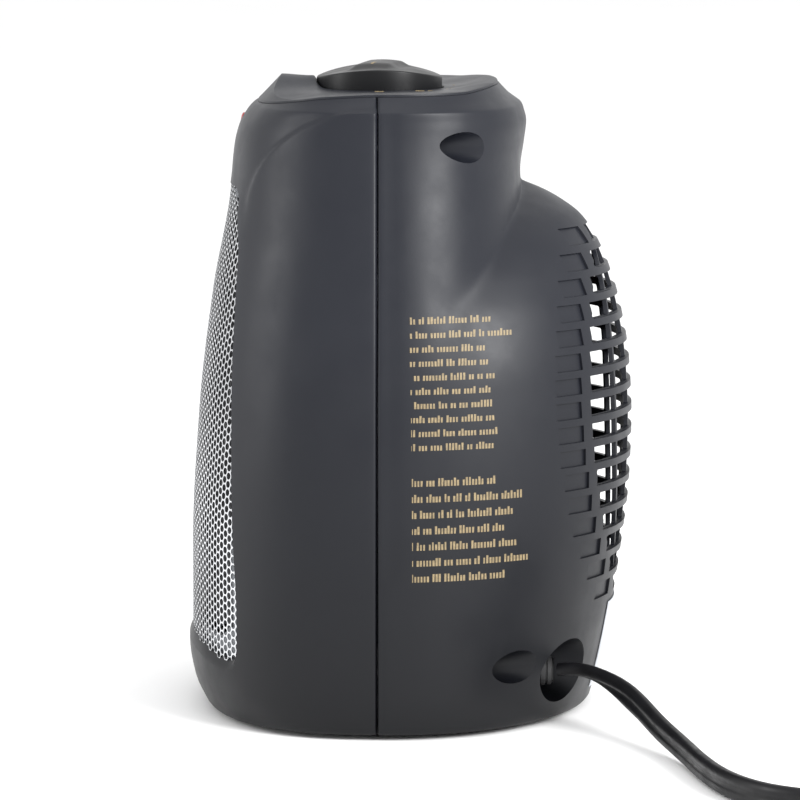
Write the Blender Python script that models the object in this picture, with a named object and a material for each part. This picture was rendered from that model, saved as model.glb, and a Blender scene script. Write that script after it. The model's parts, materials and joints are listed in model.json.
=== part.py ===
"""Ceramic space heater: clamshell casing, perforated front, fan, ceramic stack, controls and cord."""

import math

import bmesh
import bpy
from mathutils import Vector

MM = 0.001
WALL = 2.6
GAP = 0.3
SEAM_Y = -12.0
BASE_Z = 2.0

# Outer form, millimetres: (height, distance from the seam plane or half-width).
FRONT_REACH = (
    (2, 64.0), (12, 68.6), (24, 70.5), (60, 70.5), (110, 67.9), (155, 62.5),
    (190, 56.0), (208, 54.2), (216, 52.2), (221, 49.2), (226, 44.0), (232, 42.0),
)
HALF_WIDTH = (
    (2, 85.5), (14, 87.6), (50, 88.5), (90, 87.5), (130, 83.5), (165, 77.5),
    (195, 71.0), (215, 66.5), (223, 65.0), (229, 61.5), (232, 61.0),
)
NECK_REACH = (
    (2, 72.0), (120, 60.0), (160, 55.5), (188, 53.2), (199, 52.6), (210, 54.0),
    (217, 54.8), (222, 53.4), (227, 49.0), (232, 45.5),
)
BULGE_REACH = (
    (2, 79.0), (16, 83.0), (36, 87.2), (60, 91.0), (85, 93.8), (107, 94.5),
    (128, 93.5), (148, 90.2), (164, 85.4), (175, 80.2), (182, 75.0), (187, 68.5),
    (191, 61.5), (194, 54.0), (200, 30.0), (232, 1.0),
)
BULGE_WIDTH = (
    (2, 85.5), (14, 87.6), (50, 88.5), (90, 87.5), (125, 84.0), (148, 78.5),
    (162, 71.0), (174, 61.0), (184, 46.0), (190, 30.0), (195, 12.0), (232, 1.0),
)
FRONT_POWER = 2.35
NECK_POWER = 2.35
BULGE_POWER = 2.05

# Deck rim height by distance in front of or behind the seam plane.
RIM_HEIGHT = (
    (-46, 224.6), (-38, 225.8), (-30, 227.2), (-20, 228.6), (0, 229.6), (22, 229.7),
    (33, 230.1), (41, 231.2), (47, 232.2),
)

MOUTH_HALF = 62.0
MOUTH_TOP_HALF = 50.0
MOUTH_LOW = 28.0
MOUTH_HIGH = 194.0

KNOB_Y = -11.5
POCKET_RADIUS = 24.4
POCKET_FLOOR = 222.5
KNOB_BASE = 223.5
KNOB_RADIUS = 23.2
KNOB_RIM = 232.9
KNOB_ARCH = 3.5
POINTER_RISE = 1.8
POINTER_SLANT = -0.22
POINTER_HALF = 9.0

SLOT_ROWS = 16
SLOT_TOP = 178.9
SLOT_PITCH = 8.63
SLOT_HEIGHT = 6.0
# Open slots of a row as shares of the grille's half-width, and that half-width by height.
SLOT_SHARES = ((-0.21, 0.21), (0.25, 0.61), (0.64, 1.0))
GRILLE_HALF = (
    (43, 10.0), (52, 26.4), (62, 34.5), (70, 39.7), (79, 44.0), (88, 46.6), (97, 48.6), (106, 49.5),
    (115, 49.5), (124, 48.3), (133, 46.5), (141, 43.6), (150, 39.5), (158, 33.3), (166, 25.2), (175, 13.7),
    (180, 9.0),
)

SCREW_WELLS = ((60.0, 210.8, 6.0, 0.0), (72.0, 24.4, 6.0, 23.0))
CORD_WELL_X = 52.0
CORD_WELL_Z = 19.5
CORD_WELL_R = 11.6
CORD_WELL_FLOOR = 34.0

AIR_Z = 108.0
FAN_Y = 48.0
FEET = ((-58, -42), (58, -42), (-50, 30), (50, 30))
BASE_SCREWS = ((-40, -52), (40, -52), (-34, 44), (34, 44))

# Cord centreline from the strain relief to the coil.
CORD_ROUTE = (
    (52.1, 54.6, 19.7), (54.5, 60.5, 20.3), (59.5, 67.0, 19.4),
    (70.0, 74.5, 16.7), (84.0, 81.5, 12.9), (104.0, 88.5, 8.2), (128.0, 95.5, 5.4),
    (156.0, 100.8, 4.8), (180.0, 107.0, 4.8), (198.0, 116.5, 4.8), (209.0, 130.0, 4.8),
    (214.0, 147.0, 4.8), (215.6, 170.0, 4.8), (215.8, 200.0, 4.8), (215.8, 222.0, 4.8),
)
COIL_CENTRE = (153.0, 226.0)
COIL_INNER = 44.0
COIL_OUTER = 57.0
PLUG_PLACE = (209.0, 268.0)
PLUG_LENGTH = 34.0

MATERIALS = {
    "casing": ((0.045, 0.047, 0.054), 0.0, 0.42),
    "knob_black": ((0.016, 0.017, 0.020), 0.0, 0.40),
    "steel_mesh": ((0.75, 0.76, 0.78), 1.0, 0.28),
    "zinc_steel": ((0.55, 0.56, 0.58), 1.0, 0.38),
    "aluminium": ((0.72, 0.73, 0.75), 1.0, 0.40),
    "ceramic": ((0.62, 0.58, 0.50), 0.0, 0.60),
    "resin_grey": ((0.30, 0.31, 0.33), 0.0, 0.55),
    "fan_black": ((0.030, 0.030, 0.034), 0.0, 0.50),
    "brass": ((0.70, 0.55, 0.25), 1.0, 0.30),
    "red_lens": ((0.60, 0.03, 0.03), 0.0, 0.20),
    "label_silver": ((0.70, 0.71, 0.72), 0.2, 0.45),
    "cord_pvc": ((0.018, 0.018, 0.020), 0.0, 0.45),
    "rubber": ((0.020, 0.020, 0.020), 0.0, 0.80),
    "wire_red": ((0.45, 0.04, 0.03), 0.0, 0.50),
}


def clear_scene():
    for obj in list(bpy.data.objects):
        bpy.data.objects.remove(obj, do_unlink=True)


def material(name):
    found = bpy.data.materials.get(name)
    if found:
        return found
    color, metallic, roughness = MATERIALS[name]
    found = bpy.data.materials.new(name)
    found.use_nodes = True
    shader = found.node_tree.nodes["Principled BSDF"]
    shader.inputs["Base Color"].default_value = (*color, 1.0)
    shader.inputs["Metallic"].default_value = metallic
    shader.inputs["Roughness"].default_value = roughness
    return found


def smooth_table(table, x):
    """Cubic reading of a table, with slopes limited so that it never overshoots."""
    xs = [p[0] for p in table]
    ys = [p[1] for p in table]
    if x <= xs[0]:
        return ys[0]
    if x >= xs[-1]:
        return ys[-1]
    steps = [(ys[i + 1] - ys[i]) / (xs[i + 1] - xs[i]) for i in range(len(xs) - 1)]
    slopes = [steps[0]]
    for left, right in zip(steps, steps[1:]):
        slopes.append(0.0 if left * right <= 0 else 2 * left * right / (left + right))
    slopes.append(steps[-1])
    i = max(k for k in range(len(xs) - 1) if xs[k] <= x)
    h = xs[i + 1] - xs[i]
    t = (x - xs[i]) / h
    return (
        (2 * t**3 - 3 * t**2 + 1) * ys[i]
        + (t**3 - 2 * t**2 + t) * h * slopes[i]
        + (3 * t**2 - 2 * t**3) * ys[i + 1]
        + (t**3 - t**2) * h * slopes[i + 1]
    )


def oval_radius(angle, half_width, reach, power):
    across = abs(math.cos(angle)) / half_width
    along = abs(math.sin(angle)) / reach
    return (across**power + along**power) ** (-1.0 / power)


def radius(z, angle):
    """Distance of the outer surface from the seam centre; angle 90 degrees is the rear."""
    width = smooth_table(HALF_WIDTH, z)
    if math.sin(angle) < 0:
        return oval_radius(angle, width, smooth_table(FRONT_REACH, z), FRONT_POWER)
    neck = oval_radius(angle, width, smooth_table(NECK_REACH, z), NECK_POWER)
    bulge_width = smooth_table(BULGE_WIDTH, z)
    bulge = oval_radius(angle, bulge_width, smooth_table(BULGE_REACH, z), BULGE_POWER)
    return max(neck, bulge)


def surface(z, angle, inset=0.0):
    r = radius(z, angle) - inset
    return Vector((r * math.cos(angle), SEAM_Y + r * math.sin(angle), z))


def rim_height(y):
    return smooth_table(RIM_HEIGHT, y - SEAM_Y)


def add_mesh(name, verts, faces, mat):
    mesh = bpy.data.meshes.new(name)
    mesh.from_pydata([tuple(c * MM for c in v) for v in verts], [], faces)
    work = bmesh.new()
    work.from_mesh(mesh)
    bmesh.ops.remove_doubles(work, verts=work.verts, dist=1e-7)
    bmesh.ops.recalc_face_normals(work, faces=work.faces)
    if work.calc_volume(signed=True) < 0:
        bmesh.ops.reverse_faces(work, faces=work.faces)
    bmesh.ops.triangulate(work, faces=[f for f in work.faces if len(f.verts) == 4])
    work.to_mesh(mesh)
    work.free()
    mesh.materials.append(material(mat))
    obj = bpy.data.objects.new(name, mesh)
    bpy.context.scene.collection.objects.link(obj)
    return obj


def add_loops(name, loops, mat, closed=True):
    """Solid through equal point loops; closed joins the last loop back to the first."""
    count = len(loops[0])
    verts = [p for loop in loops for p in loop]
    faces = []
    spans = len(loops) if closed else len(loops) - 1
    for i in range(spans):
        a = i * count
        b = ((i + 1) % len(loops)) * count
        for j in range(count):
            k = (j + 1) % count
            faces.append((a + j, a + k, b + k, b + j))
    if not closed:
        faces.append(tuple(range(count)))
        faces.append(tuple(range((len(loops) - 1) * count, len(loops) * count)))
    return add_mesh(name, verts, faces, mat)


def add_box(name, low, high, mat):
    corners = [
        (low[0], low[1]), (high[0], low[1]), (high[0], high[1]), (low[0], high[1]),
    ]
    loops = [[(x, y, z) for x, y in corners] for z in (low[2], high[2])]
    return add_loops(name, loops, mat, closed=False)


def turn_frame(axis):
    if axis == "z":
        return lambda r, a, h: (r * math.cos(a), r * math.sin(a), h)
    if axis == "y":
        return lambda r, a, h: (r * math.cos(a), h, r * math.sin(a))
    return lambda r, a, h: (h, r * math.cos(a), r * math.sin(a))


def add_turned(name, centre, axis, profile, mat, segments=20, closed=False):
    """Turned solid; profile is (radius, height) pairs, closed for a ring with a hole."""
    place = turn_frame(axis)
    loops = []
    for r, h in profile:
        ring = []
        for k in range(segments):
            p = place(r, 2 * math.pi * k / segments, h)
            ring.append(tuple(c + o for c, o in zip(p, centre)))
        loops.append(ring)
    return add_loops(name, loops, mat, closed=closed)


def add_rod(name, centre, axis, r, low, high, mat, segments=16):
    return add_turned(name, centre, axis, ((r, low), (r, high)), mat, segments)


def add_tube(name, centre, axis, outer, inner, low, high, mat, segments=20):
    profile = ((outer, low), (outer, high), (inner, high), (inner, low))
    return add_turned(name, centre, axis, profile, mat, segments, closed=True)


def apply_boolean(obj, tool, operation):
    tool.hide_render = True
    tool.display_type = "WIRE"
    step = obj.modifiers.new(operation.lower(), "BOOLEAN")
    step.operation = operation
    step.solver = "EXACT"
    step.object = tool
    graph = bpy.context.evaluated_depsgraph_get()
    result = bpy.data.meshes.new_from_object(obj.evaluated_get(graph))
    obj.modifiers.clear()
    old = obj.data
    obj.data = result
    bpy.data.meshes.remove(old)
    bpy.data.objects.remove(tool, do_unlink=True)


def join_tools(tools):
    """One object from several separate tools."""
    work = bmesh.new()
    for tool in tools:
        work.from_mesh(tool.data)
    mesh = bpy.data.meshes.new("tool")
    work.to_mesh(mesh)
    work.free()
    for tool in tools:
        bpy.data.objects.remove(tool, do_unlink=True)
    joined = bpy.data.objects.new("tool", mesh)
    bpy.context.scene.collection.objects.link(joined)
    return joined


def half_shell(name, angles, heights):
    """Half of the casing as one closed wall between the outer surface and its offset."""
    loops = []
    for angle in angles:
        outer = []
        inner = []
        for z in heights:
            top = z == heights[-1]
            level = rim_height(surface(226.0, angle).y) - 2.4 if top else z
            outer.append(tuple(surface(level, angle)))
            inner.append(tuple(surface(level, angle, WALL)))
        loops.append(outer + inner[::-1])
    return add_loops(name, loops, "casing", closed=False)


def body_core(inset):
    """Solid form of the casing, inset from the outer surface."""
    heights = (BASE_Z + inset, 14, 40, 80, 120, 150, 168, 180, 188, 194, 205, 215, 221)
    loops = []
    for z in heights:
        ring = []
        for k in range(48):
            ring.append(tuple(surface(z, 2 * math.pi * k / 48, inset)))
        loops.append(ring)
    return add_loops("core", loops, "casing", closed=False)


def rounded_outline(corners, steps=4):
    """Outline through corners (x, z, corner radius)."""
    points = []
    total = len(corners)
    for i in range(total):
        here = Vector(corners[i][:2])
        back = (Vector(corners[i - 1][:2]) - here).normalized()
        ahead = (Vector(corners[(i + 1) % total][:2]) - here).normalized()
        r = corners[i][2]
        half = back.angle(ahead) / 2
        start = here + back * (r / math.tan(half))
        centre = here + (back + ahead).normalized() * (r / math.sin(half))
        end = here + ahead * (r / math.tan(half))
        a = (start - centre)
        b = (end - centre)
        for k in range(steps + 1):
            t = k / steps
            arm = (a * (1 - t) + b * t).normalized() * r
            points.append(centre + arm)
    return points


def mouth_outline(grow):
    return rounded_outline((
        (-MOUTH_HALF - grow, MOUTH_LOW - grow, 9.0),
        (MOUTH_HALF + grow, MOUTH_LOW - grow, 9.0),
        (MOUTH_HALF + grow, 150.0, 60.0),
        (MOUTH_TOP_HALF + grow, MOUTH_HIGH + grow, 12.0),
        (-MOUTH_TOP_HALF - grow, MOUTH_HIGH + grow, 12.0),
        (-MOUTH_HALF - grow, 150.0, 60.0),
    ))


def front_prism(name, grow, near, far):
    outline = mouth_outline(grow)
    loops = [[(p.x, y, p.y) for p in outline] for y in (near, far)]
    return add_loops(name, loops, "casing", closed=False)


def build_front_shell():
    angles = [math.pi + 0.0022 + (math.pi - 0.0044) * k / 22 for k in range(23)]
    heights = (BASE_Z, 9, 22, 50, 85, 120, 150, 178, 195, 208, 217, 222)
    shell = half_shell("front_shell", angles, heights)
    apply_boolean(shell, front_prism("mouth", 0.0, -120.0, -40.0), "DIFFERENCE")
    lens_hole = add_rod("lens_hole", (0, 0, 215.5), "y", 4.3, -80.0, -55.0, "casing", 16)
    apply_boolean(shell, lens_hole, "DIFFERENCE")
    return shell


def well_tools(grow, start_shift):
    """Round wells that open to the rear, grown for their bosses."""
    tools = []
    for x, z, r, floor in SCREW_WELLS:
        for side in (-1, 1):
            centre = (side * x, 0, z)
            tools.append(add_rod("well", centre, "y", r + grow, floor - start_shift, 95.0, "casing"))
    centre = (CORD_WELL_X, 0, CORD_WELL_Z)
    tools.append(
        add_rod("well", centre, "y", CORD_WELL_R + grow, CORD_WELL_FLOOR - start_shift, 95.0, "casing", 28)
    )
    return tools


def slot_tools():
    """Open inlet slots between the ribs."""
    tools = []
    for row in range(SLOT_ROWS):
        top = SLOT_TOP - row * SLOT_PITCH
        low = top - SLOT_HEIGHT
        half = smooth_table(GRILLE_HALF, 0.5 * (top + low))
        for inner, outer in SLOT_SHARES:
            for side in (-1, 1) if inner > 0 else (1,):
                xs = sorted((side * inner * half, side * outer * half))
                tools.append(add_box("slot", (xs[0], 30.0, low), (xs[1], 110.0, top), "casing"))
    return tools


def build_rear_shell():
    angles = [0.0022 + (math.pi - 0.0044) * k / 28 for k in range(29)]
    heights = (
        BASE_Z, 10, 24, 45, 70, 95, 118, 137, 152, 164, 174, 182, 188, 193, 198, 208,
        217, 222,
    )
    shell = half_shell("rear_shell", angles, heights)
    for boss in well_tools(1.6, 2.0):
        apply_boolean(boss, body_core(1.2), "INTERSECT")
        apply_boolean(shell, boss, "UNION")
    for well in well_tools(0.0, 0.0):
        apply_boolean(shell, well, "DIFFERENCE")
    apply_boolean(shell, join_tools(slot_tools()), "DIFFERENCE")
    holes = []
    for x, z, r, floor in SCREW_WELLS:
        for side in (-1, 1):
            holes.append(add_rod("hole", (side * x, 0, z), "y", 1.9, floor - 16.0, floor + 1.0, "casing", 12))
    centre = (CORD_WELL_X, 0, CORD_WELL_Z)
    holes.append(add_rod("hole", centre, "y", 7.0, 25.0, CORD_WELL_FLOOR + 1.0, "casing", 20))
    apply_boolean(shell, join_tools(holes), "DIFFERENCE")
    return shell


def crest_height(angle, y):
    """Height of the deck just inside its rim: a brow over the front, a lip at the rear."""
    front = max(0.0, -math.sin(angle)) ** 6
    return rim_height(y) + 0.5 + 8.0 * front


def build_control_panel():
    loops = []
    count = 40
    for k in range(count):
        a = 2 * math.pi * k / count
        rim = surface(226.0, a)
        level = rim_height(rim.y)
        outward = Vector((math.cos(a), math.sin(a), 0))
        front = max(0.0, -math.sin(a)) ** 6
        shoulder = 1.2 + 7.5 * front
        crest = crest_height(a, rim.y)
        centre = Vector((0, KNOB_Y, 0))
        flat = Vector((rim.x, rim.y, 0)) - centre
        direction = flat.normalized()
        reach = flat.length

        def at(r, z):
            p = centre + direction * r
            return (p.x, p.y, z)

        edge = at(POCKET_RADIUS, 229.2)
        middle = 0.5 * (reach - shoulder + POCKET_RADIUS)
        loops.append([
            at(reach - 0.2, level - 1.5),
            at(reach - 0.2, level - 0.3),
            at(reach - shoulder, crest),
            at(middle, 0.55 * 229.3 + 0.45 * crest),
            edge,
            at(POCKET_RADIUS, POCKET_FLOOR),
            at(5.2, POCKET_FLOOR),
            at(5.2, POCKET_FLOOR - 2.0),
            at(POCKET_RADIUS + 2.0, POCKET_FLOOR - 2.0),
            at(POCKET_RADIUS + 2.0, 226.2),
            at(middle, 0.55 * 226.3 + 0.45 * (crest - 3.0)),
            at(reach - shoulder - 2.0, min(crest - 1.9, level + 3.2)),
        ])
    return add_loops("control_panel", loops, "casing", closed=True)


def knob_top(x, y):
    """Height of the knob's top: arched across, with a raised pointer running along X."""
    arch = KNOB_RIM + KNOB_ARCH * (1 - (y / KNOB_RADIUS) ** 2)
    aside = abs(y - POINTER_SLANT * -x + 1.0) / POINTER_HALF
    ahead = max(0.0, (x - 5.0) / 9.0, (-x - 14.0) / 7.0)
    return arch + POINTER_RISE * max(0.0, 1 - aside**2) * max(0.0, 1 - ahead**2)


def build_knob():
    """Round knob with an arched top, turned about the vertical through the pocket."""
    rings = 32
    loops = []
    for r, drop in ((21.8, None), (23.2, 0.8), (23.2, 0.9), (22.4, 0.0), (18.5, 0), (14, 0), (9.5, 0), (5, 0), (1.5, 0)):
        ring = []
        for k in range(rings):
            a = 2 * math.pi * k / rings
            x, y = r * math.cos(a), r * math.sin(a)
            if drop is None:
                z = KNOB_BASE
            elif drop == 0.8:
                z = KNOB_BASE + 0.8
            else:
                z = knob_top(x, y) - drop
            ring.append((x, KNOB_Y + y, z))
        loops.append(ring)
    knob = add_loops("selector_knob", loops, "knob_black", closed=False)
    bore = add_rod("bore", (0, KNOB_Y, KNOB_BASE), "z", 3.3, -1.0, 6.0, "knob_black", 16)
    apply_boolean(knob, bore, "DIFFERENCE")
    return knob


def build_grille():
    """Perforated sheet as a plain curved sheet: the holes belong to the visual model."""
    angles = [math.radians(180 + 14 + 152 * k / 20) for k in range(21)]
    heights = (20, 60, 100, 140, 175, 200)
    loops = []
    for angle in angles:
        outer = [tuple(surface(z, angle, 1.2)) for z in heights]
        inner = [tuple(surface(z, angle, 2.2)) for z in heights]
        loops.append(outer + inner[::-1])
    sheet = add_loops("front_grille", loops, "steel_mesh", closed=False)
    apply_boolean(sheet, front_prism("trim", -0.4, -120.0, -30.0), "INTERSECT")
    return sheet


def build_retainer():
    """Frame behind the mesh, following the inside of the casing round the mouth."""
    angles = [math.radians(180 + 10 + 160 * k / 18) for k in range(19)]
    heights = (16, 60, 100, 140, 175, 204)
    loops = []
    for angle in angles:
        outer = [tuple(surface(z, angle, WALL + 1.0)) for z in heights]
        inner = [tuple(surface(z, angle, WALL + 2.8)) for z in heights]
        loops.append(outer + inner[::-1])
    frame = add_loops("grille_retainer", loops, "resin_grey", closed=False)
    apply_boolean(frame, front_prism("opening", -4.0, -120.0, -20.0), "DIFFERENCE")
    apply_boolean(frame, front_prism("outline", 4.0, -120.0, -20.0), "INTERSECT")
    return frame


def build_base():
    loops = []
    for z in (BASE_Z, BASE_Z + 2.4):
        ring = [tuple(surface(z, 2 * math.pi * k / 48, WALL + GAP)) for k in range(48)]
        loops.append([(x, y, z) for x, y, _ in ring])
    plate = add_loops("base_plate", loops, "casing", closed=False)
    holes = [add_rod("hole", (-28, 22, 0), "z", 3.4, 0.0, 6.0, "casing", 14)]
    for x, y in BASE_SCREWS:
        holes.append(add_rod("hole", (x, y, 0), "z", 2.0, 0.0, 6.0, "casing", 10))
    apply_boolean(plate, join_tools(holes), "DIFFERENCE")
    return plate


def build_feet_and_screws():
    for i, (x, y) in enumerate(FEET, 1):
        add_rod(f"foot_{i}", (x, y, 0), "z", 6.0, 0.0, BASE_Z - 0.1, "rubber", 16)
    for i, (x, y) in enumerate(BASE_SCREWS, 1):
        profile = ((2.9, 0.6), (2.9, 1.8), (1.6, 1.8), (1.6, 9.0))
        add_turned(f"base_screw_{i}", (x, y, 0), "z", profile, "zinc_steel", 12)
    index = 1
    for x, z, _, floor in SCREW_WELLS:
        for side in (-1, 1):
            profile = ((1.5, floor - 14.0), (1.5, floor + 0.2), (3.2, floor + 0.2), (3.2, floor + 2.2))
            add_turned(f"case_screw_{index}", (side * x, 0, z), "y", profile, "zinc_steel", 12)
            index += 1


def build_heater():
    half_x = 50.0
    low = 62.0
    high = 154.0
    depth = (-50.0, -32.0)
    frame = add_box("element_frame", (-half_x, depth[0], low), (half_x, depth[1], high), "resin_grey")
    inner = (-half_x + 5, depth[0] - 1, low + 6), (half_x - 5, depth[1] + 1, high - 6)
    apply_boolean(frame, add_box("opening", *inner, "resin_grey"), "DIFFERENCE")
    front = depth[0] + 2.0
    back = depth[1] - 2.0
    z = low + 6 + GAP
    for i in (1, 2, 3):
        top = z + 22.4
        add_fins(f"fin_block_{i}", -half_x + 5.4, half_x - 5.4, front, back, z, top)
        z = top + GAP
        if i < 3:
            name = f"ceramic_bar_{i}"
            add_box(name, (-half_x + 5.4, front + 1, z), (half_x - 5.4, back - 1, z + 5.4), "ceramic")
            z += 5.4 + GAP


def add_fins(name, left, right, front, back, low, high):
    """Folded fin strip: one zigzag sheet standing between two ceramic bars."""
    folds = 14
    step = (right - left) / folds
    upper = []
    lower = []
    for k in range(folds):
        x = left + k * step
        upper.extend(((x, high), (x + 0.36 * step, high), (x + 0.5 * step, low + 1.0), (x + 0.86 * step, low + 1.0)))
        lower.extend(((x, high - 1.0), (x + 0.24 * step, high - 1.0), (x + 0.38 * step, low), (x + 0.98 * step, low)))
    ring = upper[:-2] + lower[-3::-1]
    loops = [[(x, y, z) for x, z in ring] for y in (front, back)]
    return add_loops(name, loops, "aluminium", closed=False)


def build_duct():
    """Funnel from the round fan opening to the rectangular heating stack."""
    sides = 32
    loops = []
    for y, blend, inset in (
        (-31.0, 0.0, 0.0), (8.0, 0.8, 0.0), (20.0, 1.0, 0.0), (20.0, 1.0, 1.8), (8.0, 0.8, 1.8), (-31.0, 0.0, 1.8),
    ):
        ring = []
        for k in range(sides):
            a = 2 * math.pi * (k + 0.5) / sides
            c, s = math.cos(a), math.sin(a)
            box = min(50.0 / max(abs(c), 1e-6), 46.0 / max(abs(s), 1e-6))
            r = (1 - blend) * box + blend * 58.0 - inset
            ring.append((r * c, y, AIR_Z + r * s))
        loops.append(ring)
    return add_loops("air_duct", loops, "resin_grey", closed=True)


def build_fan():
    centre = (0, 0, AIR_Z)
    bracket = add_tube("motor_bracket", centre, "y", 57.5, 53.0, 21.0, 24.0, "zinc_steel", 32)
    arms = [
        add_box("arm", (-54.5, 21.4, AIR_Z - 5), (54.5, 23.4, AIR_Z + 5), "zinc_steel"),
        add_box("arm", (-5, 21.2, AIR_Z - 54.5), (5, 23.6, AIR_Z + 54.5), "zinc_steel"),
    ]
    for arm in arms:
        apply_boolean(bracket, arm, "UNION")
    for x, r in ((0.0, 6.5), (-14.0, 1.8), (14.0, 1.8)):
        bore = add_rod("bore", (x, 0, AIR_Z), "y", r, 10.0, 30.0, "zinc_steel", 16)
        apply_boolean(bracket, bore, "DIFFERENCE")
    profile = (
        (19.0, 24.3), (19.0, 40.0), (15.0, 42.0), (6.3, 42.0), (6.3, 39.5),
        (4.0, 39.5), (4.0, 27.0), (6.3, 27.0), (6.3, 24.3),
    )
    add_turned("motor_housing", centre, "y", profile, "zinc_steel", 24, closed=True)
    add_tube("bearing_front", centre, "y", 6.0, 2.4, 24.4, 26.8, "brass", 16)
    add_tube("bearing_rear", centre, "y", 6.0, 2.4, 39.7, 42.0, "brass", 16)
    add_rod("motor_shaft", centre, "y", 2.1, 22.0, 58.0, "zinc_steel", 14)
    for i, x in enumerate((-14.0, 14.0), 1):
        profile = ((2.6, 19.0), (2.6, 20.6), (1.4, 20.6), (1.4, 24.2))
        add_turned(f"motor_screw_{i}", (x, 0, AIR_Z), "y", profile, "zinc_steel", 10)
    build_impeller(centre)


def build_impeller(centre):
    hub_profile = ((14.0, 44.5), (14.0, 58.6), (12.0, 60.0), (2.5, 60.0), (2.5, 44.5))
    hub = add_turned("fan_impeller", centre, "y", hub_profile, "fan_black", 24, closed=True)
    blades = []
    for k in range(7):
        turn = 2 * math.pi * k / 7 + 0.11
        loops = []
        for r, pitch, chord in ((12.8, 0.75, 11.0), (30.0, 0.60, 22.0), (51.0, 0.45, 31.0)):
            ring = []
            for s, t in ((-0.5, 0.8), (0.0, 0.8), (0.5, 0.8), (0.5, -0.8), (0.0, -0.8), (-0.5, -0.8)):
                across = s * chord * math.cos(pitch)
                depth = 51.0 + s * chord * math.sin(pitch) * 0.62 + t
                a = turn + across / r
                ring.append((r * math.cos(a), depth, AIR_Z + r * math.sin(a)))
            loops.append(ring)
        blades.append(add_loops("blade", loops, "fan_black", closed=False))
    apply_boolean(hub, join_tools(blades), "UNION")
    for vertex in hub.data.vertices:
        vertex.co.y -= FAN_Y * MM
        vertex.co.z -= AIR_Z * MM
    hub.location = (0, FAN_Y * MM, AIR_Z * MM)
    return hub


def build_controls():
    add_box("selector_switch", (-19, KNOB_Y - 17, 194), (19, KNOB_Y + 17, 217.5), "resin_grey")
    switch = bpy.data.objects["selector_switch"]
    well = add_rod("well", (0, KNOB_Y, 0), "z", 3.9, 206.0, 220.0, "resin_grey", 16)
    apply_boolean(switch, well, "DIFFERENCE")
    add_rod("switch_shaft", (0, KNOB_Y, 0), "z", 3.0, 207.0, 228.6, "brass", 16)
    add_tube("switch_nut", (0, KNOB_Y, 0), "z", 7.0, 3.6, 217.8, 220.2, "zinc_steel", 6)
    for i, x in enumerate((-13.0, 13.0), 1):
        profile = ((1.3, 217.8), (1.3, 220.3))
        add_turned(f"switch_screw_{i}", (x, KNOB_Y, 0), "z", profile, "zinc_steel", 10)
    add_rod("thermal_cutoff", (24, -14, 0), "z", 8.0, 162.0, 170.0, "zinc_steel", 20)
    add_box("thermostat", (-34, -20, 162), (-14, -2, 172), "resin_grey")


def build_tipover():
    add_box("tipover_switch", (-38, 12, 8.4), (-18, 32, 26), "resin_grey")
    body = bpy.data.objects["tipover_switch"]
    well = add_rod("well", (-28, 22, 0), "z", 3.2, 7.0, 20.0, "resin_grey", 14)
    apply_boolean(body, well, "DIFFERENCE")
    add_rod("tipover_plunger", (-28, 22, 0), "z", 2.7, 0.0, 14.0, "resin_grey", 14)


def build_indicator():
    centre = (0, 0, 215.5)
    front = SEAM_Y - smooth_table(FRONT_REACH, 215.5)
    profile = ((4.0, front + 4.0), (4.0, front + 0.2), (2.6, front - 0.8))
    add_turned("indicator_lens", centre, "y", profile, "red_lens", 16)
    add_rod("indicator_lamp", centre, "y", 2.6, front + 4.4, front + 12.0, "ceramic", 12)


def build_label():
    """Blank plate that follows the lower rear face."""
    heights = (8.0, 14.0, 20.0, 28.0, 36.0, 40.0)
    loops = []
    for k in range(13):
        x = -24.0 + 4.0 * k
        inner = [(x, rear_at(x, z) + 0.25, z) for z in heights]
        outer = [(x, rear_at(x, z) + 0.60, z) for z in heights]
        loops.append(inner + outer[::-1])
    return add_loops("rating_label", loops, "label_silver", closed=False)


def rear_at(x, z):
    """Y of the rear surface above a given x, found along the outline."""
    best = min((math.radians(30 + 0.1 * k) for k in range(1201)), key=lambda a: abs(surface(z, a).x - x))
    return surface(z, best).y


def smooth_route(points, spacing):
    """Even points along a smooth curve through the route."""
    pts = [Vector(p) for p in points]
    fine = []
    for i in range(len(pts) - 1):
        p0 = pts[max(i - 1, 0)]
        p1 = pts[i]
        p2 = pts[i + 1]
        p3 = pts[min(i + 2, len(pts) - 1)]
        for k in range(12):
            t = k / 12
            fine.append(0.5 * (
                2 * p1 + (p2 - p0) * t + (2 * p0 - 5 * p1 + 4 * p2 - p3) * t**2
                + (3 * p1 - p0 - 3 * p2 + p3) * t**3
            ))
    fine.append(pts[-1])
    even = [fine[0]]
    run = 0.0
    for a, b in zip(fine, fine[1:]):
        run += (b - a).length
        if run >= spacing:
            even.append(b)
            run = 0.0
    if (even[-1] - fine[-1]).length > 0.4 * spacing:
        even.append(fine[-1])
    return even


def build_cord():
    centre = (CORD_WELL_X, 0, CORD_WELL_Z)
    profile = ((6.6, 27.5), (6.6, 37.0), (8.4, 37.0), (8.4, 39.5), (6.6, 39.5), (5.2, 52.0), (3.4, 52.0), (3.4, 27.5))
    add_turned("strain_relief", centre, "y", profile, "rubber", 20, closed=True)
    curve = bpy.data.curves.new("power_cord", "CURVE")
    curve.dimensions = "3D"
    curve.bevel_depth = 4.3 * MM
    curve.bevel_resolution = 2
    curve.use_fill_caps = True
    points = smooth_route(CORD_ROUTE, 15.0)
    spline = curve.splines.new("POLY")
    spline.points.add(len(points) - 1)
    for target, p in zip(spline.points, points):
        target.co = (p.x * MM, p.y * MM, p.z * MM, 1.0)
    curve.materials.append(material("cord_pvc"))
    cord = bpy.data.objects.new("power_cord", curve)
    bpy.context.scene.collection.objects.link(cord)
    return cord


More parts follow.
